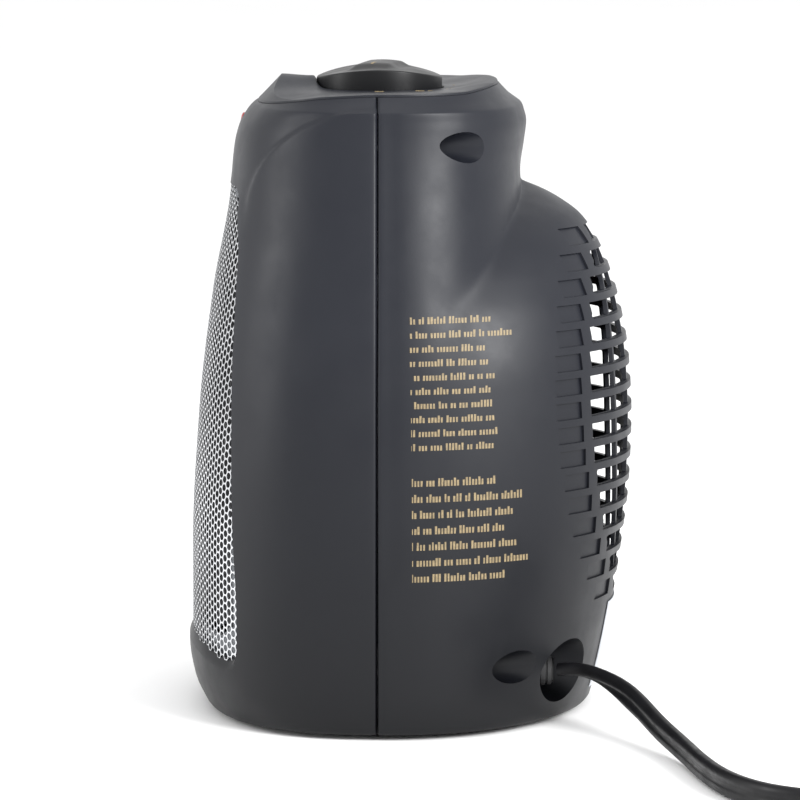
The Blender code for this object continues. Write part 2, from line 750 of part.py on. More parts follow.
def build_coil_and_plug():
    add_tube("cord_coil", (*COIL_CENTRE, 0), "z", COIL_OUTER, COIL_INNER, 0.1, 19.0, "cord_pvc", 36)
    x, start = PLUG_PLACE
    end = start + PLUG_LENGTH
    body = add_box("plug_body", (x - 9.0, start, 0.3), (x + 9.0, end, 16.0), "cord_pvc")
    for name, side in (("plug_blade_left", -1), ("plug_blade_right", 1)):
        middle = x + side * 6.35
        low = (middle - 0.8, end + GAP, 5.0)
        add_box(name, low, (middle + 0.8, end + GAP + 17.0, 11.4), "brass")
    return body


def add_lead(name, points, mat):
    """Internal wire as a thin round tube along a smooth route."""
    loops = []
    route = smooth_route(points, 9.0)
    for i, p in enumerate(route):
        ahead = (route[min(i + 1, len(route) - 1)] - route[max(i - 1, 0)]).normalized()
        side = ahead.orthogonal().normalized() if i == 0 else (side - ahead * side.dot(ahead)).normalized()
        up = ahead.cross(side)
        loops.append([tuple(p + side * (1.2 * math.cos(a)) + up * (1.2 * math.sin(a)))
                      for a in (2 * math.pi * k / 6 for k in range(6))])
    return add_loops(name, loops, mat, closed=False)


def build_leads():
    add_lead("lead_supply", ((50, 22, 19.5), (44, 12, 24), (30, 2, 36), (30, -6, 50)), "wire_red")
    add_lead("lead_motor", ((-30, 14, 178), (-50, 20, 170), (-60, 28, 150), (-62, 30, 120)), "wire_red")
    add_lead("lead_heater", ((-16, -40, 158), (-16, -44, 175), (-14, -36, 186), (-12, -26, 192.5)), "wire_red")


def main():
    clear_scene()
    build_front_shell()
    build_rear_shell()
    build_control_panel()
    build_knob()
    build_grille()
    build_retainer()
    build_base()
    build_feet_and_screws()
    build_heater()
    build_duct()
    build_fan()
    build_controls()
    build_tipover()
    build_indicator()
    build_label()
    build_cord()
    build_coil_and_plug()
    build_leads()


main()
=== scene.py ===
"""Looks of the ceramic space heater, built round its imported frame."""

import json
import math
import random

import bmesh
import bpy
import numpy as np
from bpy.props import FloatProperty, FloatVectorProperty, IntProperty, PointerProperty
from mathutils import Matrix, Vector


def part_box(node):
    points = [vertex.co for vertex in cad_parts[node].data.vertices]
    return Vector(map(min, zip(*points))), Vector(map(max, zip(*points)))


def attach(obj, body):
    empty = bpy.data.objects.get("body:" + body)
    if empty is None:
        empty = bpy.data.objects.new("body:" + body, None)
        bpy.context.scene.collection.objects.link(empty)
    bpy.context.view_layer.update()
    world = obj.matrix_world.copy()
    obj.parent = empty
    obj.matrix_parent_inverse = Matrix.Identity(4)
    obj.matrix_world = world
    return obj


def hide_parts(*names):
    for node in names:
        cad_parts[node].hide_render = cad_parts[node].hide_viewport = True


bl_info = {
    "name": "Ceramic Space Heater",
    "version": (1, 0, 0),
    "blender": (4, 5, 0),
    "location": "3D View > Sidebar > Heater",
    "description": "Builds the finished looks of a ceramic space heater on its frame",
    "category": "Object",
}

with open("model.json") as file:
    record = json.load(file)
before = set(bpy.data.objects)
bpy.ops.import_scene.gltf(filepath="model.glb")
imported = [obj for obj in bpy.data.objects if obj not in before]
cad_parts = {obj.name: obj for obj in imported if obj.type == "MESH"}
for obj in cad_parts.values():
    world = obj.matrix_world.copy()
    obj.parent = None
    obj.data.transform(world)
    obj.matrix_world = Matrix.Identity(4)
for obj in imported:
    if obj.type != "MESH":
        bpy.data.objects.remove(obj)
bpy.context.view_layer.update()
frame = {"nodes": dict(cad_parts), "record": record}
NODES = frame["nodes"]

MM = 0.001
SEAM_Y = -12.0
BASE_Z = 2.0
WALL = 2.6

# Outer form, millimetres: (height, distance from the seam plane or half-width).
FRONT_REACH = (
    (2, 64.0), (12, 68.6), (24, 70.5), (60, 70.5), (110, 67.9), (155, 62.5),
    (190, 56.0), (208, 54.2), (216, 52.2), (221, 49.2), (226, 44.0), (232, 42.0),
)
HALF_WIDTH = (
    (2, 85.5), (14, 87.6), (50, 88.5), (90, 87.5), (130, 83.5), (165, 77.5),
    (195, 71.0), (215, 66.5), (223, 65.0), (229, 61.5), (232, 61.0),
)
NECK_REACH = (
    (2, 72.0), (120, 60.0), (160, 55.5), (188, 53.2), (199, 52.6), (210, 54.0),
    (217, 54.8), (222, 53.4), (227, 49.0), (232, 45.5),
)
BULGE_REACH = (
    (2, 79.0), (16, 83.0), (36, 87.2), (60, 91.0), (85, 93.8), (107, 94.5),
    (128, 93.5), (148, 90.2), (164, 85.4), (175, 80.2), (182, 75.0), (187, 68.5),
    (191, 61.5), (194, 54.0), (200, 30.0), (232, 1.0),
)
BULGE_WIDTH = (
    (2, 85.5), (14, 87.6), (50, 88.5), (90, 87.5), (125, 84.0), (148, 78.5),
    (162, 71.0), (174, 61.0), (184, 46.0), (190, 30.0), (195, 12.0), (232, 1.0),
)
FRONT_POWER = 2.35
CREASE_ROUND = 1.6
NECK_POWER = 2.35
BULGE_POWER = 2.05
RIM_HEIGHT = (
    (-46, 224.6), (-38, 225.8), (-30, 227.2), (-20, 228.6), (0, 229.6), (22, 229.7),
    (33, 229.9), (41, 230.8), (47, 231.5),
)

MOUTH_LOW = 31.5
MOUTH_HIGH = 194.0
MOUTH_SIDES = (
    (28, 68.0), (49, 67.0), (70, 65.2), (106, 61.0), (137, 55.3), (160, 50.0), (172, 46.0), (180, 41.0),
    (187, 35.0), (194, 27.0),
)
SLOT_ROWS = 16
SLOT_TOP = 178.9
SLOT_PITCH = 8.63
SLOT_HEIGHT = 6.0
# Open slots of a row as shares of the grille's half-width, and that half-width by height.
SLOT_SHARES = ((-0.21, 0.21), (0.25, 0.61), (0.64, 1.0))
GRILLE_HALF = (
    (43, 10.0), (52, 26.4), (62, 34.5), (70, 39.7), (79, 44.0), (88, 46.6), (97, 48.6), (106, 49.5),
    (115, 49.5), (124, 48.3), (133, 46.5), (141, 43.6), (150, 39.5), (158, 33.3), (166, 25.2), (175, 13.7),
    (180, 9.0),
)
VANE_PLACES = (-58.0, -50.5, -40.0, -30.0, -20.0, -10.0, 0.0, 10.0, 20.0, 30.0, 40.0, 50.5, 58.0)

# Depth at which a row's blind pocket begins and ends, by height.
POCKET_NEAR = (
    (46, 67.9), (55, 64.6), (64, 61.8), (72, 59.1), (81, 57.2), (90, 55.6), (98, 54.1), (107, 53.3),
    (125, 52.2), (142, 53.0), (151, 53.5), (159, 54.4), (168, 55.7), (176, 56.3),
)
POCKET_FAR = (
    (46, 73.4), (55, 71.4), (64, 69.3), (72, 67.6), (81, 65.9), (90, 64.7), (98, 63.5), (107, 62.7),
    (116, 61.9), (134, 62.0), (151, 62.5), (168, 63.7), (176, 63.7),
)
SCREW_WELLS = ((58.0, 210.8, 5.6, 0.0), (72.0, 24.4, 6.0, 23.0))
CORD_WELL = Vector((52.0, 34.0, 19.5))
CORD_WELL_R = 11.6
KNOB_Y = -11.5
KNOB_BASE = 223.5
POCKET_RADIUS = 23.9
POCKET_FLOOR = 222.5
DECK_Z = 229.0
KNOB_RADIUS = 23.2
KNOB_RIM = 232.9
KNOB_ARCH = 3.5
POINTER_RISE = 1.8
POINTER_SLANT = 0.22
POINTER_HALF = 9.0

# Cord route, metres, from the strain relief to the coil.
CORD_ROUTE = (
    (0.0521, 0.0546, 0.0197), (0.0545, 0.0605, 0.0203), (0.0595, 0.0670, 0.0194),
    (0.0700, 0.0745, 0.0167), (0.0840, 0.0815, 0.0129), (0.1040, 0.0885, 0.0082),
    (0.1280, 0.0955, 0.0054), (0.1560, 0.1008, 0.0048), (0.1800, 0.1070, 0.0048),
    (0.1980, 0.1165, 0.0048), (0.2090, 0.1300, 0.0048), (0.2140, 0.1470, 0.0048),
    (0.2156, 0.1700, 0.0048), (0.2158, 0.2000, 0.0048), (0.2158, 0.2220, 0.0048),
)
COIL_CENTRE = (0.153, 0.226)


# ---------------------------------------------------------------- settings


class HeaterSizes(bpy.types.PropertyGroup):
    """Sizes a user would change"""

    cord_length: FloatProperty(
        name="Cord Length", description="Real length of the cord", default=1.65, unit="LENGTH"
    )
    cord_width: FloatProperty(
        name="Cord Width", description="Width of the flat cord", default=0.0092, unit="LENGTH"
    )
    cord_thickness: FloatProperty(
        name="Cord Thickness", description="Thickness of the flat cord", default=0.0052, unit="LENGTH"
    )
    hole_pitch: FloatProperty(
        name="Hole Pitch", description="Distance between holes of the front", default=0.00300, unit="LENGTH"
    )
    hole_radius: FloatProperty(
        name="Hole Radius", description="Radius of a hole of the front", default=0.00130, unit="LENGTH"
    )
    sheet_thickness: FloatProperty(
        name="Sheet Thickness", description="Thickness of the perforated front", default=0.0004, unit="LENGTH"
    )
    columns: IntProperty(
        name="Casing Columns", description="Columns of faces round half of the casing", default=96
    )


class HeaterColours(bpy.types.PropertyGroup):
    """Colours a user would change"""

    casing: FloatVectorProperty(
        name="Casing", description="Moulded casing", subtype="COLOR", default=(0.0090, 0.0100, 0.0140)
    )
    knob: FloatVectorProperty(
        name="Knob", description="Rotary knob", subtype="COLOR", default=(0.0055, 0.0057, 0.0066)
    )
    print_tan: FloatVectorProperty(
        name="Printed Marks", description="Printed marks", subtype="COLOR", default=(0.22, 0.165, 0.085)
    )
    steel: FloatVectorProperty(
        name="Front Sheet", description="Perforated steel", subtype="COLOR", default=(0.66, 0.67, 0.69)
    )
    lens: FloatVectorProperty(
        name="Lens", description="Indicator lens", subtype="COLOR", default=(0.35, 0.012, 0.012)
    )
    cord: FloatVectorProperty(
        name="Cord", description="Cord sheath", subtype="COLOR", default=(0.004, 0.004, 0.005)
    )
    floor: FloatVectorProperty(
        name="Floor", description="Floor and backdrop", subtype="COLOR", default=(0.93, 0.93, 0.93)
    )


def sizes():
    return bpy.context.scene.heater_sizes


def colours():
    return bpy.context.scene.heater_colours


# ---------------------------------------------------------------- outer form


def smooth_table(table, x):
    """Cubic reading of a table, with slopes limited so that it never overshoots."""
    xs = [p[0] for p in table]
    ys = [p[1] for p in table]
    if x <= xs[0]:
        return ys[0]
    if x >= xs[-1]:
        return ys[-1]
    steps = [(ys[i + 1] - ys[i]) / (xs[i + 1] - xs[i]) for i in range(len(xs) - 1)]
    slopes = [steps[0]]
    for left, right in zip(steps, steps[1:]):
        slopes.append(0.0 if left * right <= 0 else 2 * left * right / (left + right))
    slopes.append(steps[-1])
    i = max(k for k in range(len(xs) - 1) if xs[k] <= x)
    h = xs[i + 1] - xs[i]
    t = (x - xs[i]) / h
    return (
        (2 * t**3 - 3 * t**2 + 1) * ys[i]
        + (t**3 - 2 * t**2 + t) * h * slopes[i]
        + (3 * t**2 - 2 * t**3) * ys[i + 1]
        + (t**3 - t**2) * h * slopes[i + 1]
    )


def oval(angles, half_width, reach, power):
    across = np.abs(np.cos(angles)) / half_width
    along = np.abs(np.sin(angles)) / reach
    return (across**power + along**power) ** (-1.0 / power)


def step(x):
    t = np.clip(x, 0.0, 1.0)
    return t * t * (3.0 - 2.0 * t)


def plain_radius(z, angles):
    width = smooth_table(HALF_WIDTH, z)
    front = oval(angles, width, smooth_table(FRONT_REACH, z), FRONT_POWER)
    neck = oval(angles, width, smooth_table(NECK_REACH, z), NECK_POWER)
    bulge = oval(angles, smooth_table(BULGE_WIDTH, z), smooth_table(BULGE_REACH, z), BULGE_POWER)
    rear = 0.5 * (neck + bulge + np.sqrt((neck - bulge) ** 2 + CREASE_ROUND**2))
    rear = rear - 0.5 * (np.sqrt(CREASE_ROUND**2 + 400.0) - 20.0)
    return np.where(np.sin(angles) < 0, front, rear)


def creases(z, y):
    """Depth of the moulded creases below the plain form."""
    seam = np.abs(y - SEAM_Y)
    depth = 0.9 * np.exp(-((seam / 0.5) ** 2)) + 0.25 * np.exp(-((seam / 1.6) ** 2))
    depth = depth + 0.35 * np.exp(-(((y - SEAM_Y - 4.5) / 3.0) ** 2)) * (z > 60.0)
    shoulder = 0.25 * max(0.0, z - 223.4) - 0.45 * max(0.0, 1.0 - abs(z - 223.4) / 3.0)
    arch = np.sqrt(((y + 12.5) / 46.5) ** 2 + (max(0.0, z - 186.0) / 38.0) ** 2)
    outside = step((arch - 1.0) / 0.035) * step((z - 178.0) / 22.0) * (y < SEAM_Y)
    return depth + np.where(y < SEAM_Y, 1.1 * outside, 0.0) + shoulder


def ring(z, angles, inset=0.0, detailed=True):
    """Points of the outer surface at one height, set in by a distance."""
    r = plain_radius(z, angles)
    y = SEAM_Y + r * np.sin(angles)
    if detailed:
        r = r - creases(z, y)
    r = r - inset
    return np.stack((r * np.cos(angles), SEAM_Y + r * np.sin(angles), np.full_like(r, z)), axis=-1)


def point(z, angle, inset=0.0):
    return ring(z, np.array([angle]), inset)[0]


def angle_at_depth(z, y):
    """Angle in the rear right quarter where the surface lies at depth y."""
    angles = np.radians(np.linspace(8, 90, 800))
    return float(angles[np.argmin(np.abs(ring(z, angles, 0.0, False)[:, 1] - y))])


def angle_at_width(z, x):
    """Angle in the rear right quarter where the surface lies x aside."""
    angles = np.radians(np.linspace(8, 90, 800))
    return float(angles[np.argmin(np.abs(ring(z, angles, 0.0, False)[:, 0] - x))])


def front_y(x, z, inset=0.0):
    """Depth of the front surface over a point of the mouth."""
    width = smooth_table(HALF_WIDTH, z) - inset
    reach = smooth_table(FRONT_REACH, z) - inset
    share = min(abs(x) / width, 0.999)
    return SEAM_Y - reach * (1 - share**FRONT_POWER) ** (1 / FRONT_POWER)


def rim_height(y):
    return smooth_table(RIM_HEIGHT, y - SEAM_Y)


# ---------------------------------------------------------------- mesh helpers


def link(obj):
    bpy.context.scene.collection.objects.link(obj)
    return obj


def mesh_object(name, verts, faces, mat=None, scale=MM):
    mesh = bpy.data.meshes.new(name)
    mesh.from_pydata((np.asarray(verts, float) * scale).tolist(), [], faces)
    work = bmesh.new()
    work.from_mesh(mesh)
    bmesh.ops.remove_doubles(work, verts=work.verts, dist=1e-7)
    bmesh.ops.recalc_face_normals(work, faces=work.faces)
    if work.calc_volume(signed=True) < 0:
        bmesh.ops.reverse_faces(work, faces=work.faces)
    work.to_mesh(mesh)
    work.free()
    if mat:
        mesh.materials.append(mat)
    return link(bpy.data.objects.new(name, mesh))


def loops_object(name, loops, mat=None, closed=True, scale=MM, split=True):
    """Solid through equal point loops; closed joins the last loop back to the first."""
    count = len(loops[0])
    faces = []
    spans = len(loops) if closed else len(loops) - 1
    for i in range(spans):
        a = i * count
        b = ((i + 1) % len(loops)) * count
        for j in range(count):
            k = (j + 1) % count
            if split:
                faces.append((a + j, a + k, b + k))
                faces.append((a + j, b + k, b + j))
            else:
                faces.append((a + j, a + k, b + k, b + j))
    if not closed:
        faces.append(tuple(range(count)))
        faces.append(tuple(range((len(loops) - 1) * count, len(loops) * count)))
    verts = [tuple(p) for loop in loops for p in loop]
    return mesh_object(name, verts, faces, mat, scale)


def turned(name, centre, axis, profile, mat=None, segments=48, closed=False):
    """Turned solid; profile is (radius, height) pairs in millimetres."""
    place = {
        "z": lambda r, a, h: (r * math.cos(a), r * math.sin(a), h),
        "y": lambda r, a, h: (r * math.cos(a), h, r * math.sin(a)),
    }[axis]
    loops = []
    for r, h in profile:
        loops.append([
            tuple(c + o for c, o in zip(centre, place(r, 2 * math.pi * k / segments, h)))
            for k in range(segments)
        ])
    return loops_object(name, loops, mat, closed)


def round_box(name, low, high, bevel, mat=None, steps=3):
    """Block with rounded edges."""
    low, high = Vector(low), Vector(high)
    work = bmesh.new()
    bmesh.ops.create_cube(work, size=1.0)
    for v in work.verts:
        v.co = Vector(((low + high) / 2)[i] + v.co[i] * (high - low)[i] for i in range(3))
    bmesh.ops.bevel(
        work, geom=list(work.edges), offset=bevel, segments=steps, affect="EDGES", profile=0.5
    )
    for v in work.verts:
        v.co *= MM
    mesh = bpy.data.meshes.new(name)
    work.to_mesh(mesh)
    work.free()
    if mat:
        mesh.materials.append(mat)
    return link(bpy.data.objects.new(name, mesh))


def boolean(obj, tool, operation="DIFFERENCE"):
    cut = obj.modifiers.new("cut", "BOOLEAN")
    cut.operation = operation
    cut.solver = "EXACT"
    cut.object = tool
    graph = bpy.context.evaluated_depsgraph_get()
    result = bpy.data.meshes.new_from_object(obj.evaluated_get(graph))
    if not result.polygons:
        raise RuntimeError(f"nothing left of {obj.name} after {operation}")
    obj.modifiers.clear()
    obj.data = result
    result.name = obj.name
    bpy.data.objects.remove(tool, do_unlink=True)
    return obj


def joined(tools, name="tool"):
    work = bmesh.new()
    for tool in tools:
        work.from_mesh(tool.data)
    mats = tools[0].data.materials[:]
    mesh = bpy.data.meshes.new(name)
    work.to_mesh(mesh)
    work.free()
    for mat in mats:
        mesh.materials.append(mat)
    for tool in tools:
        bpy.data.objects.remove(tool, do_unlink=True)
    return link(bpy.data.objects.new(name, mesh))


def shade(obj, degrees=32.0):
    obj.data.polygons.foreach_set("use_smooth", [True] * len(obj.data.polygons))
    obj.data.set_sharp_from_angle(angle=math.radians(degrees))
    return obj


def finish_piece(obj, body, slot, *replaced, degrees=32.0):
    shade(obj, degrees)
    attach(obj, body)
    if replaced:
        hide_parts(*replaced)
    return obj


def rounded_outline(corners, steps=6):
    """Outline through corners (x, z, corner radius)."""
    points = []
    total = len(corners)
    for i in range(total):
        here = Vector(corners[i][:2])
        back = (Vector(corners[i - 1][:2]) - here).normalized()
        ahead = (Vector(corners[(i + 1) % total][:2]) - here).normalized()
        r = corners[i][2]
        half = back.angle(ahead) / 2
        centre = here + (back + ahead).normalized() * (r / math.sin(half))
        a = here + back * (r / math.tan(half)) - centre
        b = here + ahead * (r / math.tan(half)) - centre
        for k in range(steps + 1):
            t = k / steps
            points.append(centre + (a * (1 - t) + b * t).normalized() * r)
    return points


def mouth_half(z):
    return smooth_table(MOUTH_SIDES, z)


def mouth_dip(x, z):
    """How far the mouth's lower edge drops towards its sides."""
    return 7.0 * (x / 66.0) ** 2 * float(step((MOUTH_LOW + 24.0 - z) / 24.0))


def mouth_outline(spacing=3.0):
    """Outline of the mouth: wide and square below, narrowing to a rounded top."""
    right = [Vector((mouth_half(z), z)) for z in np.arange(MOUTH_LOW + 9.0, MOUTH_HIGH - 9.0, spacing)]
    foot = mouth_half(MOUTH_LOW + 9.0)
    low = []
    for k in range(9):
        a = math.pi / 2 * k / 8
        low.append(Vector((foot - 9.0 + 9.0 * math.sin(a), MOUTH_LOW + 9.0 - 9.0 * math.cos(a))))
    edge = mouth_half(MOUTH_HIGH - 9.0)
    top = []
    for k in range(9):
        a = math.pi / 2 * k / 8
        top.append(Vector((edge - 9.5 + 9.5 * math.cos(a), MOUTH_HIGH - 9.0 + 9.0 * math.sin(a))))
    corners = low + right[1:-1] + top
    corners = corners + [Vector((-p.x, p.y)) for p in corners[::-1]]
    dense = []
    for a, b in zip(corners, corners[1:] + corners[:1]):
        parts = max(1, round((b - a).length / (2 * spacing)))
        dense.extend(a + (b - a) * (k / parts) for k in range(parts) if (b - a).length > 1e-3)
    for p in dense:
        p.y -= mouth_dip(p.x, p.y)
    return dense


def smooth_route(points, spacing):
    """Even points along a smooth curve through the route."""
    pts = [Vector(p) for p in points]
    fine = []
    for i in range(len(pts) - 1):
        p0 = pts[max(i - 1, 0)]
        p1 = pts[i]
        p2 = pts[i + 1]
        p3 = pts[min(i + 2, len(pts) - 1)]
        for k in range(24):
            t = k / 24
            fine.append(0.5 * (
                2 * p1 + (p2 - p0) * t + (2 * p0 - 5 * p1 + 4 * p2 - p3) * t**2
                + (3 * p1 - p0 - 3 * p2 + p3) * t**3
            ))
    fine.append(pts[-1])
    even = [fine[0]]
    run = 0.0
    for a, b in zip(fine, fine[1:]):
        run += (b - a).length
        if run >= spacing:
            even.append(b)
            run = 0.0
    return even


# ---------------------------------------------------------------- materials


class Tree:
    """Short way to write a node material."""

    def __init__(self, name, base, roughness, metallic=0.0, coat=0.0):
        self.mat = bpy.data.materials.new(name)
        self.mat.use_nodes = True
        self.tree = self.mat.node_tree
        self.shader = self.tree.nodes["Principled BSDF"]
        self.shader.inputs["Base Color"].default_value = (*base[:3], 1.0)
        self.shader.inputs["Roughness"].default_value = roughness
        self.shader.inputs["Metallic"].default_value = metallic
        self.shader.inputs["Coat Weight"].default_value = coat
        self.base = base
        self.coord = self.node("ShaderNodeTexCoord").outputs["Object"]
        self.bumped = None

    def node(self, kind, **values):
        made = self.tree.nodes.new(kind)
        for key, value in values.items():
            setattr(made, key, value)
        return made

    def join(self, a, b):
        self.tree.links.new(a, b)

    def stretched(self, scale):
        mapping = self.node("ShaderNodeMapping")
        mapping.inputs["Scale"].default_value = scale
        self.join(self.coord, mapping.inputs["Vector"])
        return mapping.outputs["Vector"]

    def noise(self, scale, detail=3.0, roughness=0.5, vector=None):
        made = self.node("ShaderNodeTexNoise")
        made.inputs["Scale"].default_value = scale
        made.inputs["Detail"].default_value = detail
        made.inputs["Roughness"].default_value = roughness
        self.join(vector or self.coord, made.inputs["Vector"])
        return made.outputs["Fac"]

    def painted_shade_fade(self, low, high, grain):
        """Runs from 0 low down to 1 high up, broken a little by a grain; used as painted shade that darkens
        low surfaces.
        """
        parts = self.node("ShaderNodeSeparateXYZ")
        self.join(self.coord, parts.inputs[0])
        rise = self.node("ShaderNodeMapRange", clamp=True)
        rise.inputs["From Min"].default_value = low
        rise.inputs["From Max"].default_value = high
        self.join(parts.outputs["Z"], rise.inputs["Value"])
        mixed = self.node("ShaderNodeMath", operation="MULTIPLY_ADD")
        self.join(grain, mixed.inputs[0])
        mixed.inputs[1].default_value = 0.16
        self.join(rise.outputs["Result"], mixed.inputs[2])
        return mixed.outputs[0]

    def cells(self, scale, feature="F1"):
        made = self.node("ShaderNodeTexVoronoi", feature=feature)
        made.inputs["Scale"].default_value = scale
        self.join(self.coord, made.inputs["Vector"])
        return made.outputs["Distance"]

    def ramp(self, source, low, high, a=0.35, b=0.65):
        made = self.node("ShaderNodeMapRange", clamp=True)
        made.inputs["From Min"].default_value = a
        made.inputs["From Max"].default_value = b
        made.inputs["To Min"].default_value = low
        made.inputs["To Max"].default_value = high
        self.join(source, made.inputs["Value"])
        return made.outputs["Result"]

    def tint(self, source, low, high, a=0.35, b=0.65):
        """Base colour that runs from low to high times the base."""
        made = self.node("ShaderNodeMix", data_type="RGBA")
        made.inputs[6].default_value = (*(min(1.0, c * low) for c in self.base[:3]), 1.0)
        made.inputs[7].default_value = (*(min(1.0, c * high) for c in self.base[:3]), 1.0)
        self.join(self.ramp(source, 0.0, 1.0, a, b), made.inputs[0])
        self.join(made.outputs[2], self.shader.inputs["Base Color"])
        return self

    def gloss(self, source, low, high, a=0.35, b=0.65):
        self.join(self.ramp(source, low, high, a, b), self.shader.inputs["Roughness"])
        return self

    def bump(self, source, strength, distance):
        made = self.node("ShaderNodeBump")
        made.inputs["Strength"].default_value = strength
        made.inputs["Distance"].default_value = distance
        self.join(source, made.inputs["Height"])
        if self.bumped:
            self.join(self.bumped, made.inputs["Normal"])
        self.bumped = made.outputs["Normal"]
        self.join(self.bumped, self.shader.inputs["Normal"])
        return self


def once(build):
    """Keeps the first result of a material function."""
    kept = {}

    def get():
        if "mat" not in kept:
            kept["mat"] = build()
        return kept["mat"]

    return get


@once
def casing_plastic():
    """Satin moulded plastic with a fine spark-eroded texture and faint handling marks; its colour is darkened
    towards the bottom as painted shade.
    """
    t = Tree("casing_plastic", colours().casing, 0.40)
    t.shader.inputs["Specular IOR Level"].default_value = 0.25
    # Painted shade: the casing's base colour darkens towards the bottom, standing in for less light falling
    # low down.
    t.tint(t.painted_shade_fade(0.0, 0.16, t.noise(24.0, 4.0)), 0.18, 1.20, 0.0, 1.0)
    t.gloss(t.noise(60.0, 5.0, 0.6), 0.36, 0.46)
    t.bump(t.noise(2600.0, 2.0), 0.10, 0.00006)
    t.bump(t.cells(1500.0), 0.07, 0.00006)
    return t.mat


@once
def knob_plastic():
    t = Tree("knob_plastic", colours().knob, 0.38)
    t.shader.inputs["Specular IOR Level"].default_value = 0.22
    t.tint(t.noise(40.0, 3.0), 0.9, 1.12)
    t.gloss(t.noise(90.0, 4.0), 0.33, 0.44)
    t.bump(t.noise(2400.0, 2.0), 0.10, 0.00005)
    return t.mat


@once
def perforated_steel():
    """Bright rolled sheet with fine vertical rolling lines."""
    t = Tree("perforated_steel", colours().steel, 0.26, metallic=1.0)
    lines = t.noise(1.0, 3.0, 0.6, t.stretched((900.0, 900.0, 40.0)))
    t.tint(t.noise(30.0, 3.0), 0.90, 1.05)
    t.gloss(lines, 0.20, 0.34)
    t.bump(lines, 0.12, 0.00004)
    return t.mat


@once
def zinc_steel():
    t = Tree("zinc_steel", (0.55, 0.56, 0.58), 0.36, metallic=1.0)
    t.tint(t.cells(260.0), 0.82, 1.08, 0.1, 0.7)
    t.gloss(t.noise(180.0, 4.0), 0.28, 0.46)
    t.bump(t.noise(900.0, 3.0), 0.10, 0.00004)
    return t.mat


@once
def screw_steel():
    t = Tree("screw_steel", (0.10, 0.10, 0.105), 0.38, metallic=1.0)
    t.tint(t.noise(300.0, 3.0), 0.8, 1.15)
    t.gloss(t.noise(500.0, 3.0), 0.26, 0.42)
    t.bump(t.noise(1500.0, 2.0), 0.12, 0.00003)
    return t.mat


@once
def fin_aluminium():
    t = Tree("fin_aluminium", (0.72, 0.73, 0.75), 0.38, metallic=1.0)
    lines = t.noise(1.0, 2.0, 0.5, t.stretched((60.0, 1200.0, 60.0)))
    t.tint(t.noise(80.0, 3.0), 0.86, 1.05)
    t.gloss(lines, 0.30, 0.46)
    t.bump(lines, 0.12, 0.00003)
    return t.mat


@once
def bare_ceramic():
    t = Tree("bare_ceramic", (0.62, 0.58, 0.50), 0.62)
    t.tint(t.noise(220.0, 5.0, 0.65), 0.84, 1.1)
    t.gloss(t.noise(300.0, 3.0), 0.52, 0.72)
    t.bump(t.noise(1800.0, 4.0), 0.25, 0.00006)
    return t.mat


@once
def grey_resin():
    t = Tree("grey_resin", (0.20, 0.21, 0.225), 0.55)
    t.tint(t.noise(45.0, 4.0), 0.9, 1.1)
    t.gloss(t.noise(150.0, 3.0), 0.48, 0.62)
    t.bump(t.noise(2000.0, 2.0), 0.14, 0.00005)
    return t.mat


@once
def fan_plastic():
    t = Tree("fan_plastic", (0.022, 0.022, 0.025), 0.48)
    t.tint(t.noise(60.0, 3.0), 0.85, 1.2)
    t.gloss(t.noise(200.0, 3.0), 0.40, 0.56)
    t.bump(t.noise(1800.0, 2.0), 0.12, 0.00005)
    return t.mat


@once
def plug_brass():
    t = Tree("plug_brass", (0.72, 0.57, 0.28), 0.26, metallic=1.0)
    t.tint(t.noise(240.0, 4.0), 0.82, 1.06)
    t.gloss(t.noise(600.0, 3.0), 0.20, 0.34)
    t.bump(t.noise(1.0, 2.0, 0.5, t.stretched((2000.0, 60.0, 2000.0))), 0.1, 0.00003)
    return t.mat


@once
def red_lens():
    t = Tree("red_lens", colours().lens, 0.12, coat=0.4)
    t.shader.inputs["Subsurface Weight"].default_value = 0.25
    t.shader.inputs["Subsurface Radius"].default_value = (0.004, 0.0008, 0.0008)
    t.tint(t.noise(350.0, 2.0), 0.85, 1.15)
    t.bump(t.cells(900.0), 0.10, 0.00005)
    return t.mat


@once
def label_foil():
    t = Tree("label_foil", (0.50, 0.52, 0.55), 0.40, metallic=0.25)
    t.tint(t.noise(70.0, 3.0), 0.93, 1.05)
    t.gloss(t.noise(250.0, 3.0), 0.34, 0.48)
    t.bump(t.noise(1400.0, 2.0), 0.08, 0.00003)
    return t.mat


@once
def cord_sheath():
    """Semi-gloss flexible sheath with faint scuffs."""
    t = Tree("cord_sheath", colours().cord, 0.40)
    t.shader.inputs["Specular IOR Level"].default_value = 0.24
    t.tint(t.noise(90.0, 4.0, 0.6), 0.8, 1.35)
    t.gloss(t.noise(160.0, 5.0, 0.65), 0.32, 0.50)
    t.bump(t.noise(1500.0, 3.0), 0.12, 0.00006)
    return t.mat


@once
def moulded_rubber():
    t = Tree("moulded_rubber", (0.018, 0.018, 0.019), 0.62)
    t.tint(t.noise(120.0, 4.0), 0.8, 1.3)
    t.gloss(t.noise(200.0, 3.0), 0.52, 0.72)
    t.bump(t.noise(1700.0, 3.0), 0.2, 0.00006)
    return t.mat


@once
def wire_sleeve():
    t = Tree("wire_sleeve", (0.45, 0.04, 0.03), 0.42)
    t.tint(t.noise(200.0, 3.0), 0.85, 1.12)
    t.gloss(t.noise(300.0, 3.0), 0.34, 0.5)
    t.bump(t.noise(1600.0, 2.0), 0.1, 0.00004)
    return t.mat


@once
def print_ink():
    t = Tree("print_ink", colours().print_tan, 0.55)
    t.tint(t.noise(900.0, 3.0), 0.78, 1.12)
    t.bump(t.noise(2500.0, 2.0), 0.1, 0.00002)
    return t.mat


@once
def floor_paint():
    t = Tree("floor_paint", colours().floor, 0.75)
    t.tint(t.noise(3.0, 2.0), 0.995, 1.005)
    return t.mat


# ---------------------------------------------------------------- operators


